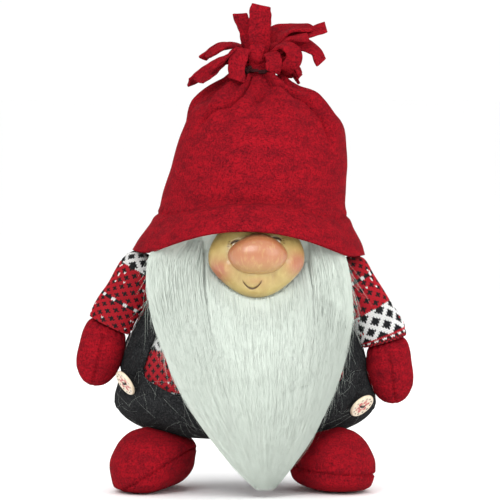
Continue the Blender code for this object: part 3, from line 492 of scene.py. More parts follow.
def banded_knit(name, bands):
    """Knit whose rows are given as (first row, ground, [(motif name, its colour)])."""
    material, wiring, inputs = new_material(
        name, 0.9, Sheen_Weight=0.04, Sheen_Roughness=0.5, Specular_IOR_Level=0.15
    )
    place = wiring.add("UVMap", uv_map="cloth").outputs["UV"]
    stitch = wiring.group(stitch_tree, {"Stitch Map": place})
    colour = None
    for first_row, ground, motifs in bands:
        band = wiring.mix(0.0, ground, ground)
        for label, motif in motifs:
            band = wiring.mix(stitch[label], band, motif)
        if colour is None:
            colour = band
        else:
            reached = wiring.maths("GREATER_THAN", stitch["Row"], first_row - 0.5)
            colour = wiring.mix(reached, colour, band)
    fibres = wiring.group(fibre_tree, {"Place": object_place(wiring), "Scale": 900.0})
    # Painted shade: the yarn's colour is darkened where the stitch relief is low, in the gaps between its legs and
    # rows; the fibre mottle added next is the yarn's own uneven colour.
    shade = wiring.maths("ADD", wiring.maths("MULTIPLY", stitch["Height"], 0.50), 0.52)
    shade = wiring.maths("ADD", shade, wiring.maths("MULTIPLY", fibres["Mottle"], 0.10))
    dimmed = wiring.add("HueSaturation", {"Value": shade, "Color": colour}).outputs["Color"]
    wiring.give(inputs["Base Color"], dimmed)
    normal = bumped(wiring, fibres["Height"], 0.0003)
    wiring.give(inputs["Normal"], bumped(wiring, stitch["Height"], 0.0006, 1.0, normal))
    return material


BLACK_MOTIF = [("Small Diamonds", BLACK_YARN), ("Specks", WHITE_YARN)]
STAR_MOTIF = [("Large Diamonds", BLACK_YARN), ("Specks", RED_YARN)]

# %% [markdown]
# ### Plain weave
# The backing of the fur, the head cover and the pellet bag are plain woven cotton. Two waves at right angles,
# each
# pushed up and down by the other, make the over and under of the threads.

# %% Group: plain weave, and the hidden cloths
weave_tree, wiring, given, wanted = new_group(
    "plain_weave", [("Place", "Vector"), ("Threads", "Float")], ["Height", "Gap"]
)
split = wiring.add("SeparateXYZ", {"Vector": given["Place"]}).outputs
flat = wiring.maths("ADD", split["X"], wiring.maths("MULTIPLY", split["Y"], 0.71))
warp = wiring.maths("SINE", wiring.maths("MULTIPLY", flat, given["Threads"]))
weft = wiring.maths("SINE", wiring.maths("MULTIPLY", split["Z"], given["Threads"]))
wiring.give(wanted["Height"], wiring.ramp(wiring.maths("MULTIPLY", warp, weft), -1.0, 1.0))
wiring.give(
    wanted["Gap"],
    wiring.ramp(
        wiring.maths("ADD", wiring.maths("ABSOLUTE", warp), wiring.maths("ABSOLUTE", weft)), 0.0, 0.8
    ),
)


def woven(name, light, dark, threads, roughness=0.9):
    """Plain woven cloth, with painted shade: darker in the gaps between its threads."""
    material, wiring, inputs = new_material(name, roughness)
    place = object_place(wiring)
    weave = wiring.group(weave_tree, {"Place": place, "Threads": threads})
    fibres = wiring.group(fibre_tree, {"Place": place, "Scale": 700.0})
    shade = wiring.maths(
        "MULTIPLY", weave["Gap"], wiring.maths("ADD", wiring.maths("MULTIPLY", fibres["Mottle"], 0.4), 0.6)
    )
    wiring.give(inputs["Base Color"], wiring.mix(shade, dark, light))
    wiring.give(inputs["Normal"], bumped(wiring, weave["Height"], 0.0003))
    return material


white_cotton = woven("white_cotton", (0.72, 0.70, 0.65), (0.38, 0.36, 0.32), 5200.0)
pellet_cloth = woven("pellet_bag", (0.55, 0.53, 0.47), (0.28, 0.26, 0.22), 3400.0)
stuffing = felted(
    "fibre_filling", (0.82, 0.83, 0.82), (0.60, 0.61, 0.61), (0.9, 0.9, 0.9), 300.0, 0.002, 0.3,
    (1.0, 1.0, 1.0)
)
grey_board = felted(
    "grey_board", (0.34, 0.29, 0.23), (0.24, 0.20, 0.16), (0.16, 0.13, 0.10), 900.0, 0.0001, 0.0,
    (1.0, 1.0, 1.0)
)
for label, material in (
    ("base_card", grey_board), ("boot_insole_left", grey_board), ("boot_insole_right", grey_board),
    ("body_stuffing", stuffing), ("head_stuffing", stuffing), ("hat_stuffing", stuffing),
    ("sleeve_stuffing_left", stuffing), ("sleeve_stuffing_right", stuffing),
    ("mitten_stuffing_left", stuffing), ("mitten_stuffing_right", stuffing),
    ("boot_stuffing_left", stuffing), ("boot_stuffing_right", stuffing),
    ("pellet_bag", pellet_cloth), ("head_cover", white_cotton), ("beard_backing", white_cotton),
    ("shoulder_knot_left", white_cotton), ("shoulder_knot_right", white_cotton),
):
    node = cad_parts[label]
    for material_slot in node.material_slots:
        material_slot.material = material
print("hidden pieces keep their CAD shape with woven cotton, fibre and board finishes")

# %% [markdown]
# ## The body
# The sack is a pear turned about an upright axis and pressed to 0.86 of its width from front to back. Its
# outline is
# the CAD's, made smooth. Every cloth that lies on it is the same surface moved out by a known distance, so
# the layers
# follow each other and never cross.

# %% The body's surface
BASE_HEIGHT, BODY_HEIGHT, BODY_HALF_WIDTH, BODY_DEPTH = 0.041, 0.135, 0.0895, 0.86
NECK_HEIGHT = BASE_HEIGHT + BODY_HEIGHT
GAP, KNIT, WOOL, FELT = 0.0004, 0.0015, 0.0025, 0.0028
SEAM = GAP + WOOL
BODY_SHAPE = [
    (0.626, 1.0), (0.654, 0.926), (0.7095, 0.830), (0.788, 0.726), (0.866, 0.630), (0.927, 0.541),
    (0.974, 0.437), (1.0, 0.333), (0.998, 0.237), (0.970, 0.1556), (0.894, 0.0852), (0.760, 0.0333),
    (0.581, 0.0037), (0.290, 0.0), (0.0, 0.0),
]
body_line = np.array([(w * BODY_HALF_WIDTH, BASE_HEIGHT + h * BODY_HEIGHT) for w, h in BODY_SHAPE])
body_line = even_line(smooth_line(body_line), 240)
body_share = np.linspace(0.0, 1.0, len(body_line))
body_slope = np.gradient(body_line, body_share, axis=0)
BODY_LENGTH = np.linalg.norm(np.diff(body_line, axis=0), axis=1).sum()


def share_at(height):
    """How far down the body's outline a height is, from 0 at the neck to 1 under the base."""
    fall = np.minimum.accumulate(body_line[:, 1])
    return np.interp(-np.asarray(height, float), -fall, body_share)


def body_at(share, angle, out=0.0):
    """The outline's radius and height at a share of its length, turned to an angle, narrowed from front to back, and
    moved out along the surface's normal."""
    share, angle, out = np.broadcast_arrays(share, angle, out)
    radius = np.interp(share, body_share, body_line[:, 0])
    height = np.interp(share, body_share, body_line[:, 1])
    d_radius = np.interp(share, body_share, body_slope[:, 0])
    d_height = np.interp(share, body_share, body_slope[:, 1])
    cos, sin = np.cos(angle), np.sin(angle)
    point = np.stack([radius * cos, BODY_DEPTH * radius * sin, height], axis=-1)
    down = np.stack([d_radius * cos, BODY_DEPTH * d_radius * sin, d_height], axis=-1)
    wide = radius + 1e-6
    along = np.stack([-wide * sin, BODY_DEPTH * wide * cos, np.zeros_like(radius)], axis=-1)
    normal = np.cross(down, along)
    normal /= np.linalg.norm(normal, axis=-1, keepdims=True)
    return point + normal * out[..., None] + MIDDLE


def body_half_width(height):
    """Half width of the sack, and of the head above its neck."""
    sack = np.interp(height, body_line[::-1, 1], body_line[::-1, 0])
    return sack


RIGHT, LEFT, FRONT = 0.0, math.pi, -math.pi / 2
print("outline length in mm:", round(1000 * BODY_LENGTH, 1))

# %% [markdown]
# ### The sweater
# The sweater is the sack's own skin. Its UV map counts stitches: 360 columns run round the body, and a row is
# 1.3 mm.
# The bands are written down from the neck: red with small black diamonds under the hat, a white band of black
# diamonds that shows beside the beard, red and black again, and a white and black band at the hips.

# %% Sweater
SWEATER_COLUMNS, ROW_HEIGHT = 360, 0.0013
ARM_RADIUS, ARM_ROOM = 0.0150, 0.0184
SHOULDERS = {side: np.array(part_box(f"shoulder_knot_{side}")).mean(axis=0) for side in ("left", "right")}


def row_at(height):
    """The number of the sweater's row at a height."""
    return round(float(share_at(height)) * BODY_LENGTH / ROW_HEIGHT)


sweater_knit = banded_knit("sweater_knit", [
    (0, RED_YARN, BLACK_MOTIF),
    (row_at(0.1215), BLACK_YARN, [("Pairs", WHITE_YARN)]),
    (row_at(0.1190), WHITE_YARN, STAR_MOTIF),
    (row_at(0.1030), BLACK_YARN, [("Checks", RED_YARN)]),
    (row_at(0.1015), RED_YARN, BLACK_MOTIF),
    (row_at(0.0735), BLACK_YARN, [("Pairs", WHITE_YARN)]),
    (row_at(0.0712), WHITE_YARN, STAR_MOTIF),
    (row_at(0.0570), RED_YARN, BLACK_MOTIF),
])
share = np.linspace(0.0, 1.0, 150)[:, None]
angle = (np.arange(256) * 2 * math.pi / 256)[None]
slack = 0.0004 * waves(3, angle, share * 3)
sweater_points = body_at(share, angle, slack)
for shoulder in SHOULDERS.values():  # the arm's round end presses a hollow into the sack
    away = sweater_points - shoulder
    distance = np.linalg.norm(away, axis=-1, keepdims=True)
    wanted = 0.5 * (distance + ARM_ROOM + np.sqrt((distance - ARM_ROOM) ** 2 + 0.0008 ** 2))
    near = 1 - smooth_step(ARM_ROOM, ARM_ROOM + 0.008, distance)
    sweater_points = shoulder + away * (1 + (wanted / distance - 1) * near)
uv = np.stack(np.broadcast_arrays(
    np.arange(257)[None] * SWEATER_COLUMNS / 256, share * BODY_LENGTH / ROW_HEIGHT
), axis=-1)
sweater = add_piece(
    "sweater", grid_mesh("sweater", sweater_points, uv), sweater_knit, "figure",
    ["sweater_body", "body_stuffing"]
)
add_wall(sweater, KNIT)

# %% [markdown]
# ### The overalls
# The wool overalls cover the lower half. The cloth is one bag: the front edge dips behind the beard, each
# side has a
# cut-out under the arm, and the back panel is higher. The rows of the grid run from that edge to the middle
# of the
# base, so the edge is clean. Over the boots the wool is baggy, so it stands out at the hips in two soft
# flaps.

# %% Overalls
BIB_EDGE, BIB_DIP, BIB_HALF_WIDTH = 0.0887, 0.021, 0.0761
BACK_PANEL_TOP, SIDE_EDGE = 0.112, 0.064


def from_side(angle):
    """The angle from the nearer side of the body, minus forwards and plus backwards."""
    return np.arcsin(np.sin(angle))


def overalls_edge(angle):
    """Height of the cut edge: a dip with a cube's shape in front, a high panel behind, and a cut-out at each side."""
    across = np.abs(BODY_HALF_WIDTH * np.cos(angle))
    front = BIB_EDGE - BIB_DIP * np.maximum(0.0, 1 - (across / BIB_HALF_WIDTH) ** 3)
    turn = np.degrees(from_side(angle))
    edge = np.where(turn < 0, front, BACK_PANEL_TOP)
    opening = smooth_step(-11.0, -4.0, turn) * (1 - smooth_step(6.0, 15.0, turn))
    return edge + (SIDE_EDGE - edge) * opening


def hip_flare(angle, height):
    """Soft flaps at the hips: a bell in angle and height at each side, and shallow folds over the rest."""
    turn = np.degrees(from_side(angle))
    reach = np.where(np.cos(angle) > 0, 0.0068, 0.0044)
    middle = np.where(np.cos(angle) > 0, 0.0610, 0.0640)
    flap = reach * bell(turn, -9.0, 24.0) * bell(height, middle, 0.0135)
    folds = 0.0009 * waves(11, angle, height / 0.07, 12, (0.5, 2.5))
    creases = 0.0010 * bell(turn, -30.0, 22.0) * np.sin(turn / 3.6 + height * 160)
    return flap + folds * smooth_step(0.036, 0.060, height) + creases * smooth_step(0.05, 0.07, height)


angle = (np.arange(320) * 2 * math.pi / 320)[None]
rows = np.linspace(0.0, 1.0, 110)[:, None] ** 1.15
start = share_at(overalls_edge(angle))
share = start + (1.0 - start) * rows
height = np.interp(share, body_share, body_line[:, 1])
rolled = 0.0007 * bell(rows, 0.022, 0.012) - 0.0009 * bell(rows, 0.0, 0.010)
overalls_points = body_at(share, angle, SEAM + hip_flare(angle, height) + rolled)
overalls_piece = add_piece(
    "overalls_wool", grid_mesh(
        "overalls_wool", overalls_points
    ), grey_wool, "figure", ["overalls"]
)
add_wall(overalls_piece, WOOL * 0.9, edge=0.0006)

# %% [markdown]
# ### The straps
# Two straps rise from the front edge, lean inwards and run up under the beard and the hat, and two more come
# down the
# back. Each is a band on the body's surface between an inner and an outer line, with long upright creases.
# Its lower
# end slips behind the edge of the overalls, so the two meet as sewn cloth does.

# %% Straps
STRAP_WIDTH, STRAP_TOP = 0.0165, 0.172
FRONT_STRAP = [(0.8045, 0.0), (0.693, 0.316), (0.530, 0.604), (0.447, 0.772), (0.369, 1.0)]
BACK_STRAP = [(0.385, 0.0), (0.360, 0.45), (0.335, 1.0)]
STRAP_CUTS = {"front": ((0.044, 0.106), 0.00275), "back": ((0.023, 0.068), 0.00145)}  # (width, length) and area


def strap_points(line, base, sign, facing):
    """Rows at equal heights; in each, the angle runs from the strap's inner line to its outer line."""
    line = smooth_line(line, 12)
    height = np.linspace(STRAP_TOP, base - 0.007, 90)
    inner = np.interp((height - base) / (STRAP_TOP - base), line[:, 1], line[:, 0]) * BODY_HALF_WIDTH
    half = body_half_width(height)
    cos_in, cos_out = inner / half, np.minimum((inner + STRAP_WIDTH) / half, 0.996)
    turn_in, turn_out = np.arccos(cos_in)[:, None], np.arccos(cos_out)[:, None]
    across = np.linspace(0.0, 1.0, 22)[None]
    turn = turn_in + (turn_out - turn_in) * across
    angle = facing * turn if sign > 0 else math.pi - facing * turn
    height = height[:, None]
    creases = 0.00055 * np.sin(across * 15 + 2.0 * np.sin(height * 70) + sign) * bell(across, 0.5, 0.45)
    tucked = 0.0018 * (1 - smooth_step(base - 0.006, base + 0.003, height))
    crown = 0.0006 * (1 - (2 * across - 1) ** 2)
    share = share_at(height) * np.ones_like(across)
    return body_at(share, angle, SEAM + creases + crown - tucked)


for side, sign in (("left", -1), ("right", 1)):
    for place, line, base, facing in (
        ("front", FRONT_STRAP, BIB_EDGE, -1.0), ("back", BACK_STRAP, BACK_PANEL_TOP, 1.0)
    ):
        points = strap_points(line, base, sign, facing)
        name = f"strap_{place}_{side}_wool"
        mesh = grid_mesh(name, points, None, around=False)
        middle = points.reshape(-1, 3).mean(axis=0)
        if sum(p.normal.x * (middle[0] - MIDDLE[0]) + p.normal.y * (middle[1] - MIDDLE[1]) for p in mesh.polygons) < 0:
            mesh.flip_normals()
        strap = add_piece(name, mesh, grey_wool, "figure", [f"strap_{place}_{side}"])
        add_wall(strap, WOOL * 0.85, edge=0.0006)
        down, along = np.linalg.norm(
            np.diff(points, axis=0), axis=2
        ), np.linalg.norm(np.diff(points, axis=1), axis=2)
        size = along.sum(axis=1).max(), down.sum(axis=0).max()
        cut = float((down[:, 1:] * along[1:]).sum())
        print(f"{name}: {1000 * size[0]:.0f} x {1000 * size[1]:.0f} mm, area {1e4 * cut:.1f} cm2")
        flat, area = STRAP_CUTS[place]

# %% [markdown]
# ### The buttons
# Each strap is fastened with a round painted wooden button. It is a disc turned on a lathe: a flat face, a
# raised rim
# and rounded edges, with two holes sunk in it. The thread comes up one hole and goes down the other. The face
# has a
# plain folk pattern of petals and dots, drawn with the distance and angle from the middle of the disc.

# %% Button paint
def painted_wood_material():
    """Cream paint with red petals, a ring of dark dots and fine grain, from the disc's own map."""
    material, wiring, inputs = new_material("painted_wood", 0.38, Coat_Roughness=0.2, Coat_Weight=0.35)
    split = wiring.add("SeparateXYZ", {"Vector": wiring.add("UVMap", uv_map="cloth").outputs["UV"]}).outputs
    far = wiring.maths(
        "POWER",
        wiring.maths("ADD", wiring.maths("POWER", split["X"], 2.0), wiring.maths("POWER", split["Y"], 2.0)),
        0.5
    )
    turn = wiring.maths("ARCTAN2", split["Y"], split["X"])
    petal = wiring.maths("ABSOLUTE", wiring.maths("SINE", wiring.maths("MULTIPLY", turn, 3.0)))
    reach = wiring.maths("ADD", wiring.maths("MULTIPLY", petal, 0.36), 0.28)
    petals = wiring.maths(
        "MULTIPLY", wiring.maths("LESS_THAN", far, reach), wiring.maths("GREATER_THAN", far, 0.24)
    )
    dots = wiring.maths(
        "MULTIPLY",
        wiring.maths("GREATER_THAN", wiring.maths("SINE", wiring.maths("MULTIPLY", turn, 12.0)), 0.35),
        wiring.maths("COMPARE", far, 0.76, 0.055),
    )
    place = object_place(wiring)
    grain = wiring.noise(wiring.stretch(place, (1.0, 1.0, 0.2)), 900.0, 3.0)
    wood = wiring.mix(wiring.ramp(grain, 0.3, 0.7), (0.62, 0.50, 0.34), (0.76, 0.67, 0.52))
    wear = wiring.ramp(wiring.noise(place, 700.0, 3.0), 0.36, 0.46)
    painted = wiring.mix(wiring.maths("MULTIPLY", petals, wear), wood, (0.45, 0.035, 0.03))
    painted = wiring.mix(dots, painted, (0.05, 0.03, 0.025))
    wiring.give(inputs["Base Color"], painted)
    wiring.give(inputs["Normal"], bumped(wiring, grain, 0.00015))
    return material


painted_wood = painted_wood_material()
sewing_thread = felted(
    "sewing_thread", (0.06, 0.05, 0.05), (0.02, 0.02, 0.02), (0.16, 0.14, 0.14), 2500.0, 0.0002, 0.2,
    (0.8, 0.8, 0.8)
)

# %% Button shape
BUTTON_RADIUS, BUTTON_THICKNESS, HOLE_SPACING, HOLE_RADIUS = 0.0100, 0.0026, 0.0042, 0.0011


BUTTON_FACING = {"left": (-0.76, -0.40, -0.51), "right": (0.57, -0.50, -0.65)}
BUTTON_SHIFT = {"left": (-0.0030, 0.0, 0.0010), "right": (0.0046, 0.0, -0.0010)}


def button_frame(side):
    """A button hangs at its CAD place, moved out with the baggy cloth, and looks outwards and down."""
    low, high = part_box(f"button_{side}")
    centre = (np.array(low) + np.array(high)) / 2 + BUTTON_SHIFT[side]
    normal = np.array(BUTTON_FACING[side])
    normal /= np.linalg.norm(normal)
    side_way = np.cross([0.0, 0.0, 1.0], normal)
    side_way /= np.linalg.norm(side_way)
    return centre, normal, side_way, np.cross(normal, side_way)


def button_points():
    """A lathe's profile of (share of radius, height) turned round, with two cosine pits for the holes."""
    profile = np.array([
        (0.0, 0.36), (0.30, 0.36), (0.62, 0.37), (0.80, 0.42), (0.88, 0.50), (0.94, 0.46), (0.985, 0.25),
        (1.0, 0.0), (0.985, -0.25), (0.93, -0.45), (0.80, -0.5), (0.4, -0.5), (0.0, -0.5),
    ])
    upper = np.stack([np.linspace(0.0, 0.62, 26), np.full(26, 0.365)], axis=1)
    profile = np.vstack([upper, even_line(smooth_line(profile[2:], 8), 60)[1:]])
    turn = np.arange(96) * 2 * math.pi / 96
    radius = profile[:, :1] * BUTTON_RADIUS
    x, y = radius * np.cos(turn), radius * np.sin(turn)
    z = np.broadcast_to(profile[:, 1:] * BUTTON_THICKNESS, x.shape).copy()
    for sign in (-1, 1):
        away = np.hypot(x - sign * HOLE_SPACING / 2, y) / HOLE_RADIUS
        z -= np.where(z > 0, 0.0016 * (1 - smooth_step(0.55, 1.15, away)), 0.0)
    return np.stack([x, y, z], axis=-1)


for side in ("left", "right"):
    centre, normal, side_way, up_way = button_frame(side)
    local = button_points()
    axes = np.stack([side_way, up_way, normal])
    uv = local[..., :2] / BUTTON_RADIUS
    uv = np.concatenate([uv, uv[:, :1]], axis=1)
    disc = grid_mesh(f"button_{side}_disc", local @ axes + centre, uv)
    add_piece(f"button_{side}_disc", disc, painted_wood, "figure", [f"button_{side}"])
    turn = np.linspace(0.0, math.pi, 15)[:, None]
    loops = []
    for shift in (-0.0004, 0.0004):
        arc = np.hstack([-np.cos(turn) * HOLE_SPACING / 2, 0 * turn + shift, np.sin(turn) * 0.0009 + 0.0006])
        ends = np.array([[arc[0, 0], shift, -0.0040]]), np.array([[arc[-1, 0], shift, -0.0040]])
        loops.append(capped(tube(np.vstack([ends[0], arc, ends[1]]) @ axes + centre, 0.00042, 8)))
    strand = np.concatenate(loops)
    faces, _ = grid_faces(len(loops[0]), 8, True)
    both = np.vstack([faces, faces + loops[0].shape[0] * 8])
    thread = turn_outwards(tidy(mesh_of("thread", strand.reshape(-1, 3), both)))
    add_piece(
        f"button_stitches_{side}", thread, sewing_thread, "figure", [f"button_thread_{side}"]
    )

# %% [markdown]
# ## The hat
# The hat is one bag of felt. Its top is gathered with a cord, and the cloth falls from there in pleats that
# fade out
# down the crown. At the height of the folded hem it is pulled in a little, then it flares to a brim that
# rises over
# the face. The grid is the CAD's outline made smooth, then pushed in and out by the pleats, folds and seam.

# %% The hat's surface
HAT_HEIGHT, HAT_HALF_WIDTH, HAT_DEPTH, HAT_NECK_RADIUS = 0.130, 0.068, 0.93, 0.0122
TIE_HEIGHT = NECK_HEIGHT + HAT_HEIGHT
HAT_NECK = [(0.0018, 0.0050), (0.0008, 0.0025), (0.0, 0.0), (0.0013, -0.0025)]
HAT_SHAPE = [
    (0.294, 0.946), (0.456, 0.900), (0.625, 0.831), (0.772, 0.731), (0.882, 0.615), (0.956, 0.485),
    (0.997, 0.338), (1.0, 0.231), (1.044, 0.169), (1.125, 0.108), (1.199, 0.050), (1.250, -0.0077),
]
HAT_LEAN = np.array([(-0.0077, 0.003), (0.223, 0.008), (0.454, 0.012), (0.723, 0.0140), (1.0, 0.0105)])
hat_line = [(HAT_NECK_RADIUS + wide, TIE_HEIGHT + up) for wide, up in HAT_NECK]
hat_line += [(wide * HAT_HALF_WIDTH, NECK_HEIGHT + up * HAT_HEIGHT) for wide, up in HAT_SHAPE]
hat_line = even_line(smooth_line(hat_line), 150)


def lean_at(height):
    """How far the head and the hat lean to the right at a height."""
    return np.interp((height - NECK_HEIGHT) / HAT_HEIGHT, HAT_LEAN[:, 0], HAT_LEAN[:, 1])


def hat_shaped(x, y, z):
    """Leans the crown, moves the brim forwards, lifts it over the face and lets it roll down to the right."""
    low = 1 - smooth_step(NECK_HEIGHT + 0.014, NECK_HEIGHT + 0.038, z)
    to_front = np.maximum(0.0, -y / np.maximum(np.hypot(x, y), 1e-6))
    edge = math.cos(math.radians(62))
    arch = np.maximum(0.0, (to_front - edge) / (1 - edge)) ** 1.5
    x = x + lean_at(z)
    return np.stack([
        x + MIDDLE[0],
        y * HAT_DEPTH - 0.006 * low + MIDDLE[1],
        z + 0.0170 * arch * low - (0.020 * x + 0.0017 * (x / 0.085) ** 2) * low,
    ], axis=-1)


angle = (np.arange(288) * 2 * math.pi / 288)[None]
radius, height = hat_line[:, :1], hat_line[:, 1:]
pleat = (
    0.50 * np.cos(11 * angle + 0.9 * np.sin(2 * angle)) + 0.35 * np.cos(
        17 * angle + 1.3 + 0.6 * np.cos(3 * angle)
    )
    + 0.30 * np.cos(7 * angle + 2.2)
)
pleat_depth = np.interp(
    height, [0.225, 0.250, 0.270, 0.284, 0.295, 0.3025, 0.306, 0.311],
    [0.0, 0.0003, 0.0010, 0.0026, 0.0033, 0.0018, 0.0011, 0.0016],
)
turn = np.degrees(angle)
rolls = np.zeros_like(radius * angle)
for middle, width, depth, top, fall in (
    (228.0, 8.0, 0.0016, 0.280, 0.016), (300.0, 9.0, 0.0018, 0.276, 0.016), (
        186.0, 8.0, -0.0030, 0.290, 0.014
    ),
    (
        350.0, 7.0, -0.0030, 0.288, 0.016
    ), (20.0, 9.0, 0.0034, 0.288, 0.016), (40.0, 6.0, -0.0030, 0.288, 0.016),
    (170.0, 9.0, 0.0030, 0.288, 0.016), (105.0, 7.0, -0.0034, 0.288, 0.018),
):
    away = (turn - middle + 180) % 360 - 180
    rolls = rolls + depth * np.exp(-((away / width) ** 2)) * bell(height, top, fall)
for crease, raised, depth in (
    ([(0.262, 208), (0.272, 217), (0.280, 232), (0.288, 246), (0.2999, 251), (0.306, 254)], -1.0, 0.0040),
    (
        [
            (0.248, 330), (0.2588, 328), (0.2700, 327), (0.2837, 323), (0.2900, 305), (0.2955, 290),
            (0.306, 284)
        ],
        1.0, 0.0046
    ),
    ([(0.262, 60), (0.280, 75), (0.290, 86), (0.306, 92)], -1.0, 0.0042),
    ([(0.262, 150), (0.280, 138), (0.290, 124), (0.306, 118)], 1.0, 0.0042),
):
    line = np.array(crease)
    middle = np.interp(height, line[:, 0], line[:, 1])
    away = ((turn - middle + 180) % 360 - 180) * raised
    size = smooth_step(line[0, 0], line[0, 0] + 0.018, height) * (
        1 - 0.55 * smooth_step(0.288, 0.303, height)
    )
    rolls = rolls + depth * size * smooth_step(-1.0, 1.8, away) * (1 - smooth_step(12.0, 42.0, away))
    rolls = rolls - 0.0042 * size * bell(away, -2.0, 1.8)
rolls = rolls - 0.0058 * bell(turn, 270 + 900 * (height - 0.29), 5.0) * bell(height, 0.2885, 0.0055)
fuller = 0.0008 * bell(height, 0.283, 0.014) + 0.0026 * bell(height, 0.2995, 0.0026)
lumps = 0.0016 * waves(5, angle, (height - 0.17) / 0.14, 12, (0.5, 2.0)) * smooth_step(0.175, 0.21, height)
brim_wave = 0.0012 * waves(8, angle, 0.0 * height, 6, (1.0, 3.0)) * (1 - smooth_step(0.175, 0.205, height))
seam_height = 0.2005 + 0.0012 * np.sin(2 * angle + 0.6)
seam_line = -0.0015 * bell(height, seam_height, 0.0013) + 0.0008 * bell(height, seam_height - 0.004, 0.0030)
pucker = 0.0005 * np.sin(46 * angle + 3 * np.sin(5 * angle)) * bell(height, seam_height, 0.004)
pushed = pleat * pleat_depth + rolls + fuller + lumps + brim_wave + seam_line + pucker
tied = smooth_step(0.3015, 0.3045, height) * (1 - smooth_step(0.3075, 0.3105, height))
pushed = pushed * (1 - 0.85 * tied) - 0.0016 * tied
slope = np.gradient(hat_line, axis=0)
slope /= np.linalg.norm(slope, axis=1, keepdims=True)
outwards, upwards = np.abs(slope[:, 1:]), np.abs(slope[:, :1])
upwards = upwards * smooth_step(0.215, 0.24, height) * (1 - tied)
radius_pushed = radius + pushed * outwards
hat_points = hat_shaped(
    radius_pushed * np.cos(angle), radius_pushed * np.sin(angle), height + pushed * upwards
)
hat_mesh = grid_mesh("hat_felt", hat_points)
hat_piece = add_piece("hat_felt", hat_mesh, red_felt, "figure", ["hat_crown", "hat_stuffing"])
steps_up = np.linalg.norm(np.diff(hat_points, axis=0), axis=-1).mean(axis=1)
girths = np.linalg.norm(np.diff(hat_points, axis=1, append=hat_points[:, :1]), axis=-1).sum(axis=1)
print("hat cloth:", round(float(girths.max()), 3), "m round,", round(float(steps_up.sum()), 3), "m up")
add_wall(hat_piece, FELT * 0.9, edge=0.0008)

# %% [markdown]
# ### The hem inside the brim
# A folded strip of the same felt is sewn inside the brim. It holds the brim out, and shows as a soft lip from
# below.

# %% Hem
hem_rows = hat_line[hat_line[:, 1] <= 0.1905]
radius, height = hem_rows[:, :1] - FELT - 2 * GAP - 0.0003, hem_rows[:, 1:] + 0.0004
wavy = 0.0012 * waves(8, angle, 0.0 * height, 6, (1.0, 3.0)) * (1 - smooth_step(0.175, 0.205, height))
hem_points = hat_shaped((radius + wavy) * np.cos(angle), (radius + wavy) * np.sin(angle), height)
hem = add_piece(
    "hat_hem_felt", grid_mesh("hat_hem_felt", hem_points), red_felt, "figure", ["hat_hem"]
)
add_wall(hem, 0.0020, edge=0.0006)

# %% [markdown]
# ### The tie
# A dark waxed cord is wound twice round the neck of the hat and knotted in front. The cord is a tube along a
# helix. Its section has three lobes that turn as they go, as the three plies of a twisted cord do.

# %% Tie
cord_dye = felted(
    "dark_cord", (0.055, 0.012, 0.014), (0.018, 0.006, 0.007), (0.12, 0.03, 0.03), 2200.0, 0.0002, 0.1,
    (0.8, 0.5, 0.5)
)
turns = 2.0
wind = np.linspace(0.0, turns * 2 * math.pi, 300) - math.pi / 2
tie_middle = np.array([lean_at(TIE_HEIGHT) + MIDDLE[0], MIDDLE[1], TIE_HEIGHT])
ring = HAT_NECK_RADIUS + 0.0003
tie_path = np.stack([
    ring * np.cos(wind), ring * 0.98 * np.sin(wind), (wind - wind[0]) / (
        turns * 2 * math.pi
    ) * 0.0024 - 0.0012
], axis=1) + tie_middle
lobes = np.arange(12) * 2 * math.pi / 12
plies = 0.00085 * (1 + 0.13 * np.cos(3 * lobes[None] - np.arange(300)[:, None] * 0.42))
tie_grid = capped(tube(tie_path, plies, 12))
tie_mesh = grid_mesh("tie_cord", tie_grid)
add_piece("tie_cord", tie_mesh, cord_dye, "figure", ["hat_tie"])
knot_turn = np.linspace(0.0, 2 * math.pi, 90)
knot_path = np.stack([
    0.0021 * (np.sin(knot_turn) + 0.9 * np.sin(2 * knot_turn)), 0.0011 * np.sin(3 * knot_turn),
    0.0018 * (np.cos(knot_turn) - 0.9 * np.cos(2 * knot_turn)),
], axis=1) + tie_middle + np.array([-0.0085, -ring + 0.0012, 0.0010])
knot_tube = tube(knot_path[:-1], 0.0010, 10, closed=True)
add_piece(
    "tie_knot", grid_mesh("tie_knot", np.concatenate([knot_tube, knot_tube[:1]])), cord_dye, "figure",
)

# %% [markdown]
# ### The strips
# Above the tie the felt is cut into strips. Some stand up, some droop, and two curl. Each is a ribbon along a
# smooth
# path: the width grows from the root, the section is slightly cupped, the ribbon twists, and its edges are a
# little
# ragged, because felt is cut with shears.

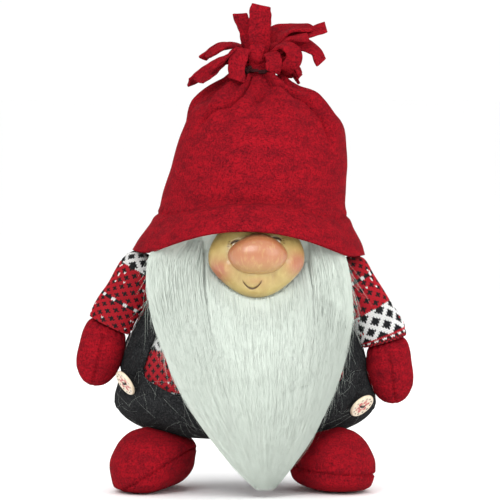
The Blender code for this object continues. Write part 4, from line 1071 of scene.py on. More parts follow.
# %% Strips
FRINGE_ROOT, INNER_RING, OUTER_RING = TIE_HEIGHT + 0.0050, 0.0062, 0.0116
STRIPS = {  # name: direction in degrees, ring, width at root and tip, twist, cup, [(outwards, up, sideways)]
    "tall_front": (
        -84, 0.0082, 0.0125, 0.0160, 0.10, 0.0018, [(0, 0.012, 0), (0.001, 0.026, 0), (0.002, 0.043, 0.001)]
    ),
    "tall_left": (
        -170, INNER_RING, 0.0090, 0.0115, 0.9, 0.0012,
        [(0.001, 0.014, 0), (0.004, 0.027, 0), (0.008, 0.037, 0)]
    ),
    "right_high": (
        6, INNER_RING, 0.0110, 0.0110, 0.7, 0.0016,
        [(0.003, 0.013, 0), (0.025, 0.0205, 0), (0.044, 0.0270, 0)]
    ),
    "back_high": (
        50, INNER_RING, 0.0105, 0.0140, 0.2, 0.0022,
        [(0.004, 0.015, 0), (0.018, 0.0260, 0), (0.031, 0.0270, -0.008)]
    ),
    "front_curl": (
        -122, OUTER_RING, 0.0100, 0.0125, -0.35, 0.0018,
        [(0.004, 0.009, 0), (0.011, 0.0095, 0), (0.0175, 0.001, 0), (0.0190, -0.012, 0)]
    ),
    "left_wide": (
        -157, OUTER_RING, 0.0100, 0.0135, -0.4, 0.0016,
        [(0.004, 0.004, 0), (0.016, 0.003, 0), (0.028, -0.006, 0), (0.036, -0.013, 0)]
    ),
    "left_thin": (
        158, OUTER_RING, 0.0080, 0.0080, 0.5, 0.0008,
        [(0.003, 0.009, 0), (0.012, 0.0135, 0), (0.023, 0.011, 0), (0.033, 0.004, 0)]
    ),
    "back_left": (
        113, OUTER_RING, 0.0090, 0.0115, 0.3, 0.0012,
        [(0.004, 0.006, 0), (0.015, 0.006, 0), (0.026, -0.003, 0), (0.034, -0.013, 0)]
    ),
    "back_right": (
        62, OUTER_RING, 0.0090, 0.0115, -0.3, 0.0012,
        [(0.004, 0.006, 0), (0.015, 0.007, 0), (0.026, 0.000, 0), (0.032, -0.010, 0)]
    ),
    "right_curl": (
        2, OUTER_RING, 0.0105, 0.0120, 0.8, 0.0016,
        [(0.004, 0.012, 0), (0.016, 0.0160, 0), (0.029, 0.0110, 0), (0.035, 0.001, 0)]
    ),
    "right_front": (
        -24, OUTER_RING, 0.0090, 0.0110, -0.5, 0.0014,
        [(0.004, 0.004, 0), (0.012, 0.001, 0), (0.018, -0.003, 0), (0.022, -0.009, 0)]
    ),
    "front_short": (
        -62, OUTER_RING, 0.0100, 0.0115, 0.4, 0.0016,
        [(0.003, 0.006, 0), (0.009, 0.007, 0), (0.0125, 0.001, 0), (0.010, -0.006, 0)]
    ),
}
DOUBLES = {  # strips that lie against one of the twelve, as (name of that one, facts)
    "right_high_under": (
        "right_high",
        (
            12, 0.0085, 0.0105, 0.0150, -0.2, 0.0022,
            [(0.004, 0.013, 0), (0.015, 0.0230, 0), (0.030, 0.0245, 0.0)]
        )
    ),
    "right_high_front": (
        "right_high",
        (
            -8, 0.0090, 0.0105, 0.0150, 0.25, 0.0022,
            [(0.004, 0.010, 0), (0.014, 0.0185, 0), (0.028, 0.0200, -0.002)]
        )
    ),
    "right_high_low": (
        "right_high",
        (
            0, 0.0100, 0.0105, 0.0140, -0.3, 0.0022,
            [(0.004, 0.008, 0), (0.014, 0.0155, 0), (0.026, 0.0165, 0.001)]
        )
    ),
    "right_high_back": (
        "back_high",
        (
            28, 0.0080, 0.0100, 0.0150, 0.2, 0.0024,
            [(0.004, 0.015, 0), (0.016, 0.0255, 0), (0.031, 0.0285, -0.004)]
        )
    ),
    "right_inside": (
        "back_high",
        (20, 0.0105, 0.0120, 0.0140, 1.1, 0.0026, [(0.003, 0.006, 0), (0.008, 0.011, 0), (0.016, 0.013, 0)])
    ),
    "right_loop": (
        "right_curl",
        (
            -38, 0.0095, 0.0100, 0.0120, 0.5, 0.0026,
            [
                (0.005, 0.010, 0), (0.016, 0.0135, 0), (0.0235, 0.006, 0.001), (0.0170, -0.003, 0),
                (0.009, -0.005, 0)
            ]
        )
    ),
    "right_low": (
        "right_front",
        (
            0, OUTER_RING, 0.0090, 0.0115, 0.6, 0.0016,
            [(0.004, 0.003, 0), (0.012, -0.001, 0), (0.019, -0.009, 0)]
        )
    ),
    "right_knob": (
        "back_right",
        (
            32, OUTER_RING, 0.0090, 0.0110, 0.8, 0.0020,
            [(0.006, 0.000, 0), (0.016, -0.003, 0), (0.023, -0.012, 0)]
        )
    ),
    "left_under": (
        "left_wide",
        (
            -142, 0.0105, 0.0100, 0.0125, 0.4, 0.0014,
            [(0.004, 0.007, 0), (0.014, 0.008, 0), (0.025, 0.001, 0), (0.033, -0.005, 0)]
        )
    ),
    "left_high_back": (
        "left_thin",
        (
            176, 0.0085, 0.0095, 0.0105, -0.4, 0.0014,
            [(0.003, 0.010, 0), (0.011, 0.0145, 0), (0.021, 0.0115, 0), (0.029, 0.005, 0)]
        )
    ),
    "left_tip": (
        "left_wide",
        (
            -174, OUTER_RING, 0.0085, 0.0095, 0.7, 0.0016,
            [(0.004, 0.003, 0), (0.019, 0.001, 0), (0.032, -0.009, 0), (0.040, -0.014, 0)]
        )
    ),
    "front_low": (
        "front_short",
        (
            -96, OUTER_RING, 0.0105, 0.0110, 0.2, 0.0016,
            [(0.003, 0.003, 0), (0.0045, 0.008, 0), (0.003, 0.014, 0.001)]
        )
    ),
    "back_mass": (
        "back_right",
        (92, 0.0085, 0.0100, 0.0125, 0.5, 0.0020, [(0.004, 0.009, 0), (0.014, 0.013, 0), (0.024, 0.007, 0)])
    ),
    "back_mass_left": (
        "back_left",
        (135, 0.0085, 0.0100, 0.0120, -0.5, 0.0018, [(0.004, 0.009, 0), (0.013, 0.012, 0), (0.022, 0.005, 0)])
    ),
}


def strip_points(seed, direction, ring, root_width, tip_width, twist, cup, path):
    """Rows along the path, columns across: the width line turns about the path by the twist, the cup bends it with
    the square of the distance across, and seeded waves fray the edges."""
    angle = math.radians(direction)
    out = np.array([math.cos(angle), math.sin(angle), 0.0])
    side = np.array([-math.sin(angle), math.cos(angle), 0.0])
    root = np.array([lean_at(FRINGE_ROOT) + MIDDLE[0], MIDDLE[1], FRINGE_ROOT]) + out * ring
    steps = np.array([(0.0, -0.006, 0.0), (0.0, 0.0, 0.0), *path])
    steps[0, 0] = -0.0015
    line = root + steps[:, :1] * out + steps[:, 1:2] * np.array([0.0, 0.0, 1.0]) + steps[:, 2:] * side
    line = even_line(smooth_line(line, 10), 44)
    along = np.linspace(0.0, 1.0, len(line))[:, None]
    across = np.linspace(-1.0, 1.0, 11)[None]
    ahead = np.gradient(line, axis=0)
    ahead /= np.linalg.norm(ahead, axis=1, keepdims=True)
    face = np.cross(ahead, side)
    turned = twist * smooth_step(0.05, 0.65, along)
    wide_way = side * np.cos(turned) + face * np.sin(turned)
    face_way = face * np.cos(turned) - side * np.sin(turned)
    draw = np.random.default_rng(seed)
    phase = draw.uniform(0, 6.28, 4)
    fray = 1 + 0.045 * np.sin(along * 19 + phase[0] + across) + 0.03 * np.sin(
        along * 43 + phase[1] - 2 * across
    )
    width = (
        root_width + (tip_width - root_width) * smooth_step(0.0, 0.6, along)
    ) * fray * (1 - 0.10 * smooth_step(0.93, 1.0, along))
    bend = cup * (across**2 - 0.4) * np.sin(phase[2] + along * 2.2) + 0.0006 * np.sin(
        along * 14 + 2 * across + phase[3]
    )
    slope = 0.0016 * across * smooth_step(0.85, 1.0, along) * np.sin(phase[1])
    return (
        line[:, None] + wide_way[:, None] * (
            across * width / 2
        )[..., None] + face_way[:, None] * bend[..., None]
        + ahead[:, None] * slope[..., None]
    )


every_strip = [(name, name, facts) for name, facts in STRIPS.items()]
every_strip += [(name, node, facts) for name, (node, facts) in DOUBLES.items()]
for seed, (name, node, facts) in enumerate(every_strip, start=40):
    points = strip_points(seed, *facts)
    strip = add_piece(
        f"strip_{name}", grid_mesh(
            f"strip_{name}", points, None, around=False
        ), red_felt, "figure",
        [f"fringe_{node}"],
    )
    add_wall(strip, 0.0023, edge=0.0006, offset=0.0)
    wide = np.linalg.norm(points[:, -1] - points[:, 0], axis=-1)

# %% [markdown]
# ## The face
# The face is one cast and painted piece: a shallow half ball with a rounded-triangle outline, a big egg for a
# nose,
# full cheeks, a small smile and two creased eyes. The grid runs in rings from the middle of the face to its
# rim, and
# the features are soft bells and grooves added to it. The same formulas mark where the paint goes, as
# attributes.

# %% The face's surface
FACE_CENTRE = np.array([0.009, -0.0620, 0.1715]) + MIDDLE
FACE_HALF, FACE_WALL, FACE_TILT = (0.0347, 0.0140, 0.0290), 0.0025, math.radians(-9)
NOSE_CENTRE, NOSE_HALF = np.array([0.0098, -0.0748, 0.1728]) + MIDDLE, (0.0216, 0.0138, 0.0148)


def tilted(points):
    """Points of the face, leant back about its middle."""
    arm = points - FACE_CENTRE
    cos, sin = math.cos(FACE_TILT), math.sin(FACE_TILT)
    turned = np.stack(
        [arm[..., 0], arm[..., 1] * cos - arm[..., 2] * sin, arm[..., 1] * sin + arm[..., 2] * cos], axis=-1
    )
    return turned + FACE_CENTRE


def egg_bell(x, z, middle_x, middle_z, wide, high):
    """A bell with an oval foot."""
    return np.exp(-(((x - middle_x) / wide) ** 2) - ((z - middle_z) / high) ** 2)


def smile_height(x):
    """A shallow parabola: the mouth's line."""
    return -0.0232 + 110.0 * (x + 0.003) ** 2


def marked_mesh(name, points, marks):
    """A grid's mesh with a named number at each point, for the paint."""
    rows, columns = points.shape[:2]
    faces, _ = grid_faces(rows, columns, True)
    mesh = mesh_of(name, points.reshape(-1, 3), faces)
    for label, values in marks.items():
        layer = mesh.attributes.new(label, "FLOAT", "POINT")
        layer.data.foreach_set("value", np.broadcast_to(values, (rows, columns)).astype(np.float32).ravel())
    return turn_outwards(tidy(mesh))


ring = np.radians(np.concatenate([np.linspace(0.0, 90.0, 120), np.linspace(91.0, 112.0, 10)]))[:, None]
turn = (np.arange(220) * 2 * math.pi / 220)[None]
x = FACE_HALF[0] * np.sin(ring) * np.sin(turn)
z = FACE_HALF[2] * np.sin(ring) * np.cos(turn)
x = x * (1 - 0.20 * smooth_step(0.10, 1.0, -z / FACE_HALF[2]))
depth = FACE_HALF[1] * np.cos(ring)
cheeks = egg_bell(x, z, -0.0225, -0.0085, 0.0095, 0.0085) + egg_bell(x, z, 0.0235, -0.0065, 0.0095, 0.0085)
fold = egg_bell(x, z, -0.0125, -0.0165, 0.0016, 0.0042) + egg_bell(x, z, 0.0120, -0.0145, 0.0016, 0.0042)
chin = egg_bell(x, z, -0.001, -0.0275, 0.0085, 0.0038)
muzzle = egg_bell(x, z, -0.001, -0.0165, 0.0100, 0.0048)
in_mouth = 1 - smooth_step(0.0058, 0.0074, np.abs(x + 0.003))
smile = bell(z, smile_height(x), 0.00070) * in_mouth
lids, whites, lashes = 0.0 * x, 0.0 * x, 0.0 * x
for middle_x, middle_z in ((-0.0138, 0.0098), (0.0134, 0.0122)):
    across, up = x - middle_x, z - middle_z
    arc = 0.0012 - 95.0 * across**2
    inside = 1 - smooth_step(0.0040, 0.0052, np.abs(across))
    lids = lids + bell(up, arc, 0.00085) * inside
    whites = whites + bell(up, arc - 0.0021, 0.0008) * (1 - smooth_step(0.0030, 0.0042, np.abs(across)))
    sign = math.copysign(1.0, middle_x)
    for step in (0.0, 1.0, 2.0):
        lashes = lashes + egg_bell(
            x, z, middle_x + sign * (0.0056 + 0.0004 * step), middle_z + 0.0006 - 0.0017 * step, 0.0009,
            0.00045
        )
brow = egg_bell(x, z, -0.013, 0.0175, 0.0085, 0.0035) + egg_bell(x, z, 0.013, 0.0190, 0.0085, 0.0035)
raised = 0.0046 * cheeks + 0.0022 * chin + 0.0022 * muzzle + 0.0012 * brow
raised = raised - 0.0016 * smile - 0.0009 * fold - 0.0011 * lids + 0.0005 * whites
raised = raised * np.sqrt(np.clip(np.cos(ring), 0.0, 1.0))
face_points = tilted(np.stack([x, -depth - raised, z], axis=-1) + FACE_CENTRE)
blush = egg_bell(x, z, -0.0275, -0.0105, 0.0085, 0.0090) + egg_bell(x, z, 0.0300, -0.0050, 0.0085, 0.0090)
blush = blush + 0.35 * egg_bell(x, z, 0.0, -0.0185, 0.008, 0.003)
marks = {
    "blush": np.clip(blush * 1.15, 0, 1), "dark": np.clip(1.3 * lids + 1.05 * smile + 0.8 * lashes, 0, 1),
    "eye_white": np.clip(1.4 * whites - 0.2, 0, 1), "hollow": np.clip(0.25 * fold, 0, 1),
}
face_mesh = marked_mesh("face_cast", face_points, marks)

# %% The face's paint
def cast_paint(name, ground, blushed, shade):
    """Glossy paint on a cast piece: a ground colour, blush and dark lines from attributes, and faint brush streaks."""
    material, wiring, inputs = new_material(name, 0.34, Coat_Weight=0.45, Coat_Roughness=0.16)
    place = object_place(wiring)
    streak = wiring.noise(wiring.stretch(place, (1.0, 1.0, 0.25), (0.0, 0.5, 0.0)), 420.0, 3.0, 0.6)
    cloud = wiring.noise(place, 90.0, 2.0)
    colour = wiring.mix(wiring.ramp(cloud, 0.35, 0.7), shade, ground)
    blush = wiring.add("Attribute", attribute_name="blush").outputs["Fac"]
    colour = wiring.mix(blush, colour, blushed)
    light = tuple(min(1.0, c * 1.22) for c in ground)
    colour = wiring.mix(wiring.maths("MULTIPLY", wiring.ramp(streak, 0.52, 0.80), 0.40), colour, light)
    for label, paint in (
        ("hollow", (0.26, 0.13, 0.045)), ("eye_white", (0.80, 0.78, 0.70)), ("dark", (0.055, 0.020, 0.010))
    ):
        mark = wiring.add("Attribute", attribute_name=label).outputs["Fac"]
        colour = wiring.mix(mark, colour, paint)
    wiring.give(inputs["Base Color"], colour)
    wiring.give(inputs["Roughness"], wiring.maths("ADD", wiring.maths("MULTIPLY", streak, 0.16), 0.24))
    wiring.give(inputs["Normal"], bumped(wiring, wiring.noise(place, 260.0, 4.0), 0.00022))
    return material


painted_resin = cast_paint(
    "painted_resin", (0.470, 0.365, 0.130), (0.380, 0.134, 0.062), (0.385, 0.270, 0.085)
)
face = add_piece("face_cast", face_mesh, painted_resin, "figure", ["face_mask"])
add_wall(face, FACE_WALL, edge=0.0006)

# %% [markdown]
# ### The nose
# The nose is cast in one with the face: a big egg lying across it, narrower above. Its colour is warmer than
# the
# face's, and its top catches the light.

# %% Nose
ring = np.radians(np.linspace(0.0, 180.0, 90))[:, None]
turn = (np.arange(140) * 2 * math.pi / 140)[None]
up = np.sin(ring) * np.sin(turn) + 0 * ring
wide = np.sign(np.cos(ring)) * np.abs(np.cos(ring)) ** 0.86
x = NOSE_HALF[0] * wide * (1 - 0.30 * np.clip(up + 0.15, 0.0, 2.0) ** 2) * np.ones_like(turn)
z = NOSE_HALF[2] * up
y = -NOSE_HALF[1] * np.sin(ring) * np.cos(turn) * (1 + 0.06 * smooth_step(0.0, 1.0, -up))
x = x + 0.0009 * smooth_step(0.2, 1.0, up)
nose_points = tilted(np.stack([x, y, z], axis=-1) + NOSE_CENTRE)
zero = np.zeros_like(x)
nose_marks = {
    "blush": np.clip(0.92 - 0.45 * smooth_step(0.2, 1.0, -up) + 0.0 * x, 0, 1), "dark": zero,
    "eye_white": zero, "hollow": zero
}
add_piece(
    "nose_cast", marked_mesh("nose_cast", nose_points, nose_marks), painted_resin, "figure",
    ["face_mask"]
)

# %% [markdown]
# ## The beard
# The beard is long-haired fur cloth. Its hairs are rooted from the temples down to the belly, and all of them
# fall
# towards one point between the boots. Across and down are shares of the beard's width and height, so a hair
# that
# keeps its share across follows the beard's taper by itself.

# %% Where the beard lies
BEARD_TOP, BEARD_TIP, BEARD_THICKNESS = NECK_HEIGHT + 0.014, 0.005, 0.0160
BEARD_SHAPE = np.array([
    (1.0, -0.055, 0.063), (0.946, -0.065, 0.070), (0.881, -0.070, 0.0745), (0.773, -0.070, 0.078),
    (0.643, -0.0645, 0.0775), (0.5135, -0.056, 0.0725), (0.395, -0.046, 0.066), (0.286, -0.034, 0.057),
    (0.178, -0.020, 0.046), (0.081, -0.005, 0.033), (0.0, 0.010, 0.021),
])
beard_shape = smooth_line(BEARD_SHAPE, 8)[::-1]
HEAD_WIDTHS = np.array([(0.1764, 0.0575), (0.190, 0.0610), (0.203, 0.0620), (0.220, 0.0605)])


def worn_half_width(height):
    """Half width of what the beard lies on: the sack, and above its neck the head."""
    sack = body_half_width(np.maximum(height, BASE_HEIGHT + 0.035))
    return np.where(height > NECK_HEIGHT, np.interp(height, HEAD_WIDTHS[:, 0], HEAD_WIDTHS[:, 1]), sack)


def beard_at(across, down, layer):
    """Across and down as shares, and layer from 0 on the cloth to 1 at the fur's outer side."""
    across, down, layer = np.broadcast_arrays(across, down, layer)
    height = BEARD_TOP - down * (BEARD_TOP - BEARD_TIP)
    left = np.interp(1 - down, beard_shape[:, 0], beard_shape[:, 1])
    right = np.interp(1 - down, beard_shape[:, 0], beard_shape[:, 2])
    x = left + across * (right - left)
    out = 0.0034
    on_head = smooth_step(NECK_HEIGHT - 0.018, NECK_HEIGHT, height)
    half = worn_half_width(height)
    deep = (BODY_DEPTH + 0.04 * on_head) * half + SEAM + out
    wide = half + SEAM + out
    inwards = np.clip(1 - ((x - lean_at(height) * on_head) / wide) ** 2, 0.0, 1.0)
    back = -np.maximum(deep * np.sqrt(inwards), 0.469 * BODY_HALF_WIDTH + out)
    crown = np.sqrt(np.clip(1 - (2 * across - 1) ** 2, 0.0, 1.0))
    tip = 0.25 + 0.75 * smooth_step(BEARD_TIP, BEARD_TIP + 0.055, height)
    brim = 1 - 0.55 * smooth_step(NECK_HEIGHT - 0.016, BEARD_TOP, height)
    thick = BEARD_THICKNESS * (0.16 + 0.84 * crown * tip * brim)
    return np.stack([x, back - layer * thick, height], axis=-1) + MIDDLE


def off_face(points, margin):
    """How far outside the face's outline a point is, as a share: under 1 is on the face."""
    x = (points[..., 0] - FACE_CENTRE[0]) / (FACE_HALF[0] + margin)
    z = (points[..., 2] - FACE_CENTRE[2]) / (FACE_HALF[2] + margin)
    x = x / (1 - 0.18 * smooth_step(0.1, 1.0, -z))
    return np.hypot(x, z)


# %% Fur's finish
def fur_material():
    """White fur: each hair has its own tint from the map's first number, and is greyer at its root by the second, a
    painted shade where the roots lie deep in the fur.
    """
    material, wiring, inputs = new_material("white_fur", 0.55, Sheen_Weight=0.15, Sheen_Roughness=0.4)
    split = wiring.add("SeparateXYZ", {"Vector": wiring.add("UVMap", uv_map="cloth").outputs["UV"]}).outputs
    colour = wiring.mix(wiring.ramp(split["X"], 0.0, 1.0), (0.520, 0.583, 0.515), (0.570, 0.625, 0.562))
    grey = wiring.maths("MULTIPLY", wiring.maths("GREATER_THAN", split["X"], 0.93), 0.18)
    colour = wiring.mix(grey, colour, (0.46, 0.51, 0.46))
    patch = wiring.noise(wiring.stretch(object_place(wiring), (1.0, 1.0, 0.18)), 260.0, 3.0, 0.6)
    colour = wiring.mix(
        wiring.maths("MULTIPLY", wiring.ramp(patch, 0.62, 0.42), 0.12), colour, (0.48, 0.55, 0.49)
    )
    # Painted shade: the root end of each hair is greyed, as the fur is shaded deep down near the cloth.
    root = wiring.maths("MULTIPLY", wiring.ramp(split["Y"], 0.15, 0.0), 0.10)
    colour = wiring.mix(root, colour, (0.50, 0.52, 0.48))
    wiring.give(inputs["Base Color"], colour)
    return material


white_fur = fur_material()

# %% The inner mass of the fur
# The hairs near the cloth are too many to draw one by one, so they are one streaked surface just under the
# others.
rows, columns = 150, 180
down = np.linspace(0.0, 0.985, rows)[:, None]
across = np.linspace(0.012, 0.988, columns)[None]
grooves = np.sin(across * 170 + 3 * np.sin(across * 23) + 2 * np.sin(down * 5 + across * 9))
grooves = 0.6 * grooves + 0.4 * np.sin(across * 330 + 2 * np.sin(down * 7))
near_face = off_face(beard_at(across, down, 0.3), 0.0)
front = beard_at(across, down, 0.10 + 0.56 * smooth_step(1.0, 1.55, near_face) + 0.020 * grooves)
hollow = smooth_step(0.90, 1.06, near_face)
back = beard_at(across, down, 0.05)
front = back + (front - back) * hollow[..., None]
around = np.concatenate([front, back[:, ::-1]], axis=1)
lids = [
    np.broadcast_to(around[:1].mean(axis=1, keepdims=True), around[:1].shape),
    np.broadcast_to(around[-1:].mean(axis=1, keepdims=True), around[-1:].shape)
]
mass = np.concatenate([lids[0], around, lids[1]])
uv = np.stack(np.broadcast_arrays(
    0.5 + 0.2 * np.sin(np.arange(2 * columns + 1) * 1.7)[None], np.linspace(0.1, 1.0, rows + 2)[:, None]
), axis=-1)
beard_mass = add_piece(
    "beard_mass", grid_mesh("beard_mass", mass, uv), white_fur, "figure", ["beard_pile"]
)

# %% [markdown]
# ### The long hairs
# Each hair is a thin three-sided tube of eight rings that tapers to its tip. Its root is a random point on
# the cloth,
# off the face; a good share of the roots lie along the cheeks and under the chin, where the fur is thickest.
# Hairs
# are gathered into locks: towards its tip a hair leans to the middle line of its lock, and every lock has its
# own
# slow wave. Thousands of hairs are laid at once as arrays.

# %% Long hairs
RINGS, CORNERS = 8, 3


def lay_hairs(seed, count, layers, reach, thick, splay=0.010, at_edge=0.0):
    """Paths of hairs as an array (hair, ring, 3) and each hair's radius along it. A share of the roots may be pushed to
    the beard's edges, and splay is how far a tip strays to the side."""
    draw = np.random.default_rng(seed)
    want = int(count * 2.6)
    across = draw.uniform(0.0, 1.0, want)
    down = draw.beta(1.0, 1.9, want) * 0.86
    edged = draw.uniform(size=want) < at_edge
    across = np.where(edged, np.where(across < 0.5, 0.10, 0.90) + (across - 0.5) * 0.16, across)
    chin = (draw.uniform(size=want) < 0.30) & ~edged
    around = draw.uniform(-1.9, 1.9, want)
    rim_x = 0.009 + (FACE_HALF[0] + 0.0012) * np.sin(around) * (
        1 - 0.18 * smooth_step(0.1, 1.0, np.cos(around))
    )
    rim_z = FACE_CENTRE[2] - (FACE_HALF[2] + 0.0012) * np.cos(around)
    rim_down = (BEARD_TOP - rim_z) / (BEARD_TOP - BEARD_TIP)
    left = np.interp(1 - rim_down, beard_shape[:, 0], beard_shape[:, 1])
    right = np.interp(1 - rim_down, beard_shape[:, 0], beard_shape[:, 2])
    across = np.where(chin, (rim_x - left) / (right - left), across)
    down = np.where(chin, rim_down + draw.uniform(0.0, 0.03, want), down)
    root = beard_at(across, down, 0.1)
    over_face = (
        np.abs(root[:, 0] - FACE_CENTRE[0]) < FACE_HALF[0] + 0.0035
    ) & (root[:, 2] > FACE_CENTRE[2] - 0.004)
    keep = (off_face(root, 0.0) > 1.0) & ~over_face & (down > 0.0)
    across, down = across[keep][:count], down[keep][:count]
    count = len(across)
    length = draw.uniform(*reach, count)
    end = np.minimum(down + length / (BEARD_TOP - BEARD_TIP), 1.0 - 0.16 * draw.beta(0.8, 2.0, count))
    end = np.maximum(end, down + 0.12)
    end = np.minimum(end, 1.0)
    locks = 260
    lock_across = (np.arange(locks) + draw.uniform(-0.4, 0.4, locks)) / locks
    mine = np.clip(np.round(across * locks + draw.normal(0, 1.3, count)), 0, locks - 1).astype(int)
    t = np.linspace(0.0, 1.0, RINGS)[None]
    path_down = down[:, None] + (end - down)[:, None] * t
    drawn = 0.62 * smooth_step(0.15, 1.0, t)
    own_wave = draw.uniform(0, 6.28, count)[:, None]
    lock_wave = draw.uniform(0, 6.28, locks)[mine][:, None]
    lock_size = draw.uniform(0.3, 1.0, locks)[mine][:, None]
    path_across = across[:, None] + (lock_across[mine] - across)[:, None] * drawn
    sway = 0.0115 * lock_size * np.sin(
        path_down * 15 + lock_wave
    ) + 0.0045 * np.sin(path_down * 31 + own_wave)
    sideways = draw.normal(0, splay, count)
    sideways = np.where(splay > 0.02, np.abs(sideways) * np.sign(across - 0.5), sideways)
    stray = sideways[:, None] * t**2
    path_across = path_across + (sway + stray) * smooth_step(0.0, 0.4, t)
    layer = draw.uniform(*layers, count)[:, None]
    rise = 1 - np.exp(-t * length[:, None] / 0.010)
    path_layer = 0.22 + (layer - 0.22) * rise + 0.05 * np.sin(path_down * 22 + own_wave) * t
    path = beard_at(np.clip(path_across, -0.03 - 2 * splay, 1.03 + 2 * splay), path_down, path_layer)
    path[..., 2] = np.maximum(path[..., 2], 0.0035)
    radius = thick * draw.uniform(0.7, 1.3, count)[:, None] * (1 - 0.80 * t**1.3)
    step = 0.004
    inside = np.clip(path_across, 0.03, 0.97)
    wide = beard_at(inside + step, path_down, 1.0) - beard_at(inside - step, path_down, 1.0)
    tall = beard_at(inside, np.minimum(path_down + step, 1.0), 1.0) - beard_at(inside, path_down - step, 1.0)
    facing = np.cross(tall, wide)
    facing /= np.linalg.norm(facing, axis=-1, keepdims=True)
    return path, radius, draw.uniform(0, 1, count), t, facing


def hair_mesh(name, path, radius, tint, t, facing):
    """Three corners round each ring, joined by triangles, with a point at the tip and a lid at the root."""
    count = len(path)
    ahead = np.gradient(path, axis=1)
    ahead /= np.maximum(np.linalg.norm(ahead, axis=-1, keepdims=True), 1e-9)
    side = np.cross(ahead, np.array([0.0, -1.0, 0.15]))
    side /= np.maximum(np.linalg.norm(side, axis=-1, keepdims=True), 1e-9)
    over = np.cross(side, ahead)
    turn = np.arange(CORNERS) * 2 * math.pi / CORNERS
    ring = side[:, :, None] * np.cos(turn)[:, None] + over[:, :, None] * np.sin(turn)[:, None]
    body = path[:, :, None] + ring * radius[:, :, None, None]
    shading = facing[:, :, None] * 0.85 + ring * 0.30
    shading = np.concatenate([shading[:, :-1].reshape(count, -1, 3), facing[:, -1:]], axis=1)
    shading /= np.linalg.norm(shading, axis=-1, keepdims=True)
    body = body[:, :-1].reshape(count, -1, 3)
    points = np.concatenate([body, path[:, -1:]], axis=1)
    each = points.shape[1]
    faces = []
    for r in range(RINGS - 2):
        for c in range(CORNERS):
            a, b = r * CORNERS + c, r * CORNERS + (c + 1) % CORNERS
            faces += [(b, a, b + CORNERS), (b + CORNERS, a, a + CORNERS)]
    last = (RINGS - 2) * CORNERS
    faces += [(last + (c + 1) % CORNERS, last + c, each - 1) for c in range(CORNERS)]
    faces.append((0, 1, 2))
    faces = np.array(faces)
    every = (faces[None] + (np.arange(count) * each)[:, None, None]).reshape(-1, 3)
    along = np.concatenate([np.repeat(t[0, :-1], CORNERS), [1.0]])
    corner_uv = np.stack([
        np.broadcast_to(
            tint[:, None, None], (count, *faces.shape)
        ), np.broadcast_to(along[faces][None], (count, *faces.shape))
    ], axis=-1).reshape(-1, 2)
    return mesh_of(name, points.reshape(-1, 3), every, corner_uv), shading.reshape(-1, 3)


for seed, name, count, layers, reach, thick, splay, at_edge in (
    (21, "fur_under", 4400, (0.74, 0.88), (0.080, 0.160), 0.00030, 0.010, 0.0),
    (22, "fur_middle", 4400, (0.82, 0.94), (0.070, 0.165), 0.00026, 0.010, 0.0),
    (23, "fur_outer", 4400, (0.90, 1.00), (0.080, 0.175), 0.00022, 0.010, 0.0),
    (24, "fur_edge", 1300, (0.30, 1.00), (0.030, 0.080), 0.00011, 0.055, 1.0),
):
    path, radius, tint, t, facing = lay_hairs(seed, count, layers, reach, thick, splay, at_edge)
    mesh, shading = hair_mesh(name, path, radius, tint, t, facing)
    add_piece(name, mesh, white_fur, "figure", ["beard_pile"])
    mesh.normals_split_custom_set_from_vertices(shading)
    print(
        name, "hairs", len(path), "of",
        round(1000 * float(np.linalg.norm(np.diff(path, axis=1), axis=-1).sum(axis=1).mean())), "mm"
    )

# %% [markdown]
# ## The arms
# An arm is a stuffed knit sleeve with a felt mitten on its end. Its middle line leans away from the body and
# bends
# towards upright at the wrist. Sleeve and mitten are both made straight, as rings round a line, then bent
# along it.

# %% The arm's middle line
ARM_LEAN = math.radians(28.5)
HAND_LEANS = {"left": math.radians(13), "right": math.radians(8)}
WRIST_BEND, SLEEVE_LENGTH, MITTEN_LENGTH = (0.034, 0.064), 0.046, 0.047
STRETCHES = {"left": -0.0045, "right": 0.0045}  # the left sleeve is bunched up a little, and the right one pulled down
print("shoulders in mm:", {side: np.round(1000 * place, 2) for side, place in SHOULDERS.items()})


def hung(points, side):
    """Bends a straight arm: its third number is the distance down the arm, where the lean is added up in small steps."""
    sign = -1.0 if side == "left" else 1.0
    down = np.linspace(-0.03, 0.12, 400)
    lean = ARM_LEAN + (HAND_LEANS[side] - ARM_LEAN) * smooth_step(*WRIST_BEND, down)
    step = down[1] - down[0]
    start = np.searchsorted(down, 0.0)
    out = np.cumsum(np.sin(lean)) * step
    up = -np.cumsum(np.cos(lean)) * step
    out, up = out - out[start], up - up[start]
    at = points[..., 2] + STRETCHES[side] * smooth_step(0.002, 0.050, points[..., 2])
    lean_here = np.interp(at, down, lean)
    return np.stack([
        sign * (np.interp(at, down, out) + points[..., 0] * np.cos(lean_here)),
        points[..., 1],
        np.interp(at, down, up) + points[..., 0] * np.sin(lean_here),
    ], axis=-1) + SHOULDERS[side]


# %% [markdown]
# ### The sleeves
# The knit is real relief here, not only a bump: every stitch has its two legs in the mesh. The map counts 60
# columns
# of stitches round the arm. The left sleeve has a white band at the shoulder and pairs of white stitches on
# red. The
# right sleeve has a broad white band with black diamonds above the cuff.

